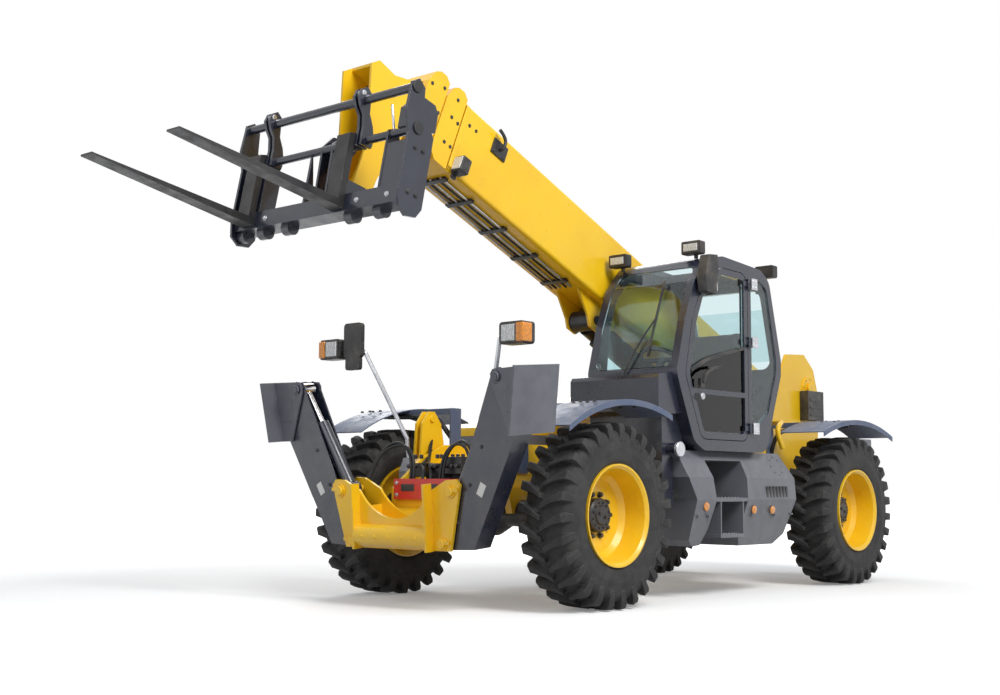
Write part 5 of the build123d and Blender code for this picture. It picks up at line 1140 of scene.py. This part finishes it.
def add_boom_lamp_and_hook():
    bm = bmesh.new()
    block(bm, BOOM_LAMP, (0.09, 0.1, 0.12), BOOM_AXES)
    block(bm, BOOM_LAMP - 0.05 * ACROSS - 0.02 * BOOM_N, (0.05, 0.02, 0.16), BOOM_AXES)
    piece("boom_lamp", bm, TRIM, "boom", 0.008)
    size = (0.008, 0.085, 0.1)
    boxes("boom_lamp_lens", [BOOM_LAMP + 0.046 * BOOM_U], size, CLEAR_LENS, "boom", 0.004, BOOM_AXES)
    bm = bmesh.new()
    block(bm, HOOK + 0.006 * ACROSS, (0.16, 0.012, 0.12), BOOM_AXES)
    for ds in (-0.055, 0.055):
        bolt(bm, HOOK + ds * BOOM_U + 0.012 * ACROSS - 0.04 * BOOM_N, ACROSS, 0.018, 0.01)
    piece("boom_hook_plate", bm, BLACK, "boom", 0.003)
    route = (
        HOOK + 0.012 * ACROSS,
        HOOK + 0.05 * ACROSS,
        HOOK + 0.05 * ACROSS + 0.09 * BOOM_N,
        HOOK + 0.05 * ACROSS + 0.11 * BOOM_N + 0.09 * BOOM_U,
    )
    tube("boom_hook", route, 0.013, BLACK, "boom")


def add_boom_pipes():
    for k, y in enumerate(PIPES_Y):
        route = [on_boom(s, -0.292, y) for s in PIPE_STATIONS]
        tube(f"boom_pipe_{k}", route, 0.009, (STEEL, BLACK)[k % 2], "boom")
    clamps = [on_boom(s, -0.29, -0.02) for s in CLAMP_STATIONS]
    boxes("boom_pipe_clamps", clamps, (0.04, 0.26, 0.03), BLACK, "boom", 0.003, BOOM_AXES)


def add_boom_pivot():
    """Pin caps with their keepers, and a ring of bolts, outside the towers."""
    pivot = Vector(JOINTS["boom_lift"]["pos_m"])
    bm = bmesh.new()
    for sign in (-1, 1):
        disc(bm, pivot + sign * 0.36 * ACROSS, sign * ACROSS, 0.06, 0.014, 32)
        block(bm, pivot + sign * 0.346 * ACROSS - 0.09 * UP, (0.05, 0.012, 0.11))
    piece("pivot_caps", bm, YELLOW, "chassis", 0.003)
    bm = bmesh.new()
    for sign in (-1, 1):
        centre = pivot + sign * 0.342 * ACROSS
        bolt_circle(bm, centre, AHEAD, UP, 0.1, 8, PIVOT_BOLT_START, sign * ACROSS, 0.018, 0.01)
    piece("pivot_bolts", bm, YELLOW, "chassis")


# ---- lift cylinder ----
LIFT_PORTS = (0.2, 1.0, 1.8)


def add_lift_cylinder_details():
    eye = Vector(JOINTS["lift_barrel_hinge"]["pos_m"])
    along = Vector(JOINTS["lift_rod_slide"]["axis"])
    below = along.cross(ACROSS)
    if below.z >= 0:
        below = -below
    route = [eye + s * along + 0.115 * below for s in (0.2, 0.9, 1.8)]
    tube("lift_port_pipe", route, 0.01, STEEL, "lift_barrel")
    ports = [eye + s * along + 0.105 * below for s in LIFT_PORTS]
    boxes("lift_ports", ports, (0.06, 0.07, 0.04), BLACK, "lift_barrel", 0.004, (along, ACROSS, below))


# ---- carriage ----
CARRIAGE_HALF_WIDTH = 0.84
# on the carriage: out from the heel, up from it
TOP_BAR = (-0.03, 0.74)
MID_BAR = (-0.095, 0.48)
END_BOLTS = ((-0.17, 0.05), (-0.1, 0.05), (-0.17, 0.35), (-0.1, 0.35))
HANGERS_Y = (0.318, 0.362, -0.556, -0.6)
BEAM_BOLTS_Y = (-0.72, -0.5, 0.42, 0.7)
FORKS_Y = {"left": 0.24, "right": -0.68}


def add_carriage_details():
    bm = bmesh.new()
    for sign in (-1, 1):
        y = sign * CARRIAGE_HALF_WIDTH
        for a, b in (TOP_BAR, MID_BAR):
            disc(bm, on_carriage(a, b, y), sign * ACROSS, 0.042, 0.012, 28)
        for a, b in END_BOLTS:
            bolt(bm, on_carriage(a, b, y), sign * ACROSS, 0.024, 0.012)
    piece("carriage_bar_ends", bm, BLACK, "carriage")
    bm = bmesh.new()
    for y in HANGERS_Y:
        disc(bm, on_carriage(0, 0.78, y - 0.016), ACROSS, 0.02, 0.032, 20)
    for y in BEAM_BOLTS_Y:
        bolt(bm, on_carriage(-0.0555, 0.04, y), CARRIAGE_OUT, 0.026, 0.014)
    piece("carriage_bolts", bm, STEEL, "carriage")
    route = (on_carriage(-0.1, 0.7, 0.55), on_carriage(-0.15, 0.4, 0.6), on_carriage(-0.19, 0.12, 0.64))
    tube("carriage_rod", route, 0.009, STEEL, "carriage")
    for hand, y in FORKS_Y.items():
        bm = bmesh.new()
        disc(bm, on_carriage(*MID_BAR, y - 0.068), ACROSS, 0.05, 0.136, 28)
        piece(f"fork_eye_{hand}", bm, FORK_BLACK, "carriage")


# ---- engine hood and pod ----
HOOD_LO = Vector(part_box("engine_hood")[0])
POD_LO, POD_HI = (Vector(corner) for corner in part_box("engine_pod"))
POD_Y = -0.73
POD_DOORS_X = (0.45, 1.05)


def add_engine_details():
    bm = bmesh.new()
    for i in range(11):
        block(bm, Vector((HOOD_LO.x + 0.16 + 0.055 * i, HOOD_LO.y - 0.001, 1.43)), (0.03, 0.012, 0.22))
    for i in range(8):
        block(bm, Vector((HOOD_LO.x + 0.003 + 0.012, POD_Y, 1.32 + 0.028 * i)), (0.03, 0.55, 0.012))
    piece("hood_vents", bm, TRIM, "engine_hood", 0.003)
    latches = [Vector((HOOD_LO.x + dx, HOOD_LO.y + 0.002, 1.3)) for dx in (0.95, 1.4)]
    boxes("hood_latches", latches, (0.1, 0.014, 0.035), TRIM, "engine_hood", 0.004)
    bm = bmesh.new()
    for dx in POD_DOORS_X:
        block(bm, Vector((POD_LO.x + dx, POD_LO.y - 0.002, 0.95)), (0.5, 0.014, 0.42))
    for dx in POD_DOORS_X:
        block(bm, Vector((POD_LO.x + dx, POD_LO.y - 0.008, 1.1)), (0.1, 0.012, 0.03))
    piece("pod_doors", bm, GREY, "chassis", 0.006)
    bars = [Vector((POD_HI.x, POD_Y, 0.92 + 0.032 * i)) for i in range(9)]
    boxes("pod_grille", bars, (0.014, 0.6, 0.014), TRIM, "chassis", 0.003)


# ---- rear ----
TAIL_X = Vector(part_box("counterweight")[0]).x
TAIL_LAMP_Z = 1.06
# part, how far ahead of the tail, y, size, material, rounding
TAIL_LAMP_PARTS = (
    ("case", 0.03, 0.52, (0.03, 0.2, 0.1), TRIM, 0.006),
    ("red", 0.013, 0.56, (0.014, 0.1, 0.08), RED, 0.004),
    ("amber", 0.013, 0.465, (0.014, 0.07, 0.08), AMBER, 0.004),
)
TOWER_BOX = (-2.48, 0.38, 1.615)
TOWER_PIPE = (
    at(-1.0, 0.9, 1.17), at(-0.9, 0.9, 1.3), at(-1.0, 0.88, 1.38), at(-1.18, 0.8, 1.4), at(-1.3, 0.36, 1.4),
)


def add_tail_lamps():
    for hand, sign in HANDS:
        for part, inset, y, size, material, bevel in TAIL_LAMP_PARTS:
            centre = Vector((TAIL_X + inset, sign * y, TAIL_LAMP_Z))
            boxes(f"tail_lamp_{hand}_{part}", [centre], size, material, "chassis", bevel)


def add_tower_details():
    """Box lamp beside the tower, and the bent pipe behind the cab."""
    x, y, z = TOWER_BOX
    bm = bmesh.new()
    block(bm, at(x, y, z), (0.3, 0.09, 0.28))
    for rib_z in (1.53, 1.6, 1.67):
        block(bm, at(x, 0.427, rib_z), (0.24, 0.008, 0.03))
    piece("tower_box", bm, TRIM, "chassis", 0.008)
    tube("tower_pipe", TOWER_PIPE, 0.022, YELLOW, "chassis")


# ---- every sub-part's details ----
add_door()
add_wiper()
add_lamps()
add_mirrors()
add_seat()
add_side_details()
for end, hand, sign in WHEELS:
    add_fender_details(end, hand, sign)
add_guard_and_valves()
add_hoses()
add_frame_pins()
for hand, sign in HANDS:
    add_leg_details(hand, sign)
add_collar_plugs()
add_boom_bands()
add_boom_lamp_and_hook()
add_boom_pipes()
add_boom_pivot()
add_lift_cylinder_details()
add_carriage_details()
add_engine_details()
add_tail_lamps()
add_tower_details()

# CAD node, width of its rounded edges
SOFT_EDGES = (
    ("cab_frame", 0.014), ("cab_door", 0.006), ("cab_cowl", 0.016), ("side_panels", 0.008),
    ("engine_hood", 0.02), ("engine_pod", 0.015), ("counterweight", 0.02), ("headlamps", 0.014),
    ("work_lamps", 0.01), ("cab_mirror", 0.014), ("front_mirror", 0.01), ("hose_guard", 0.012),
)
for node_name, edge_width in SOFT_EDGES:
    soften(node_name, edge_width)
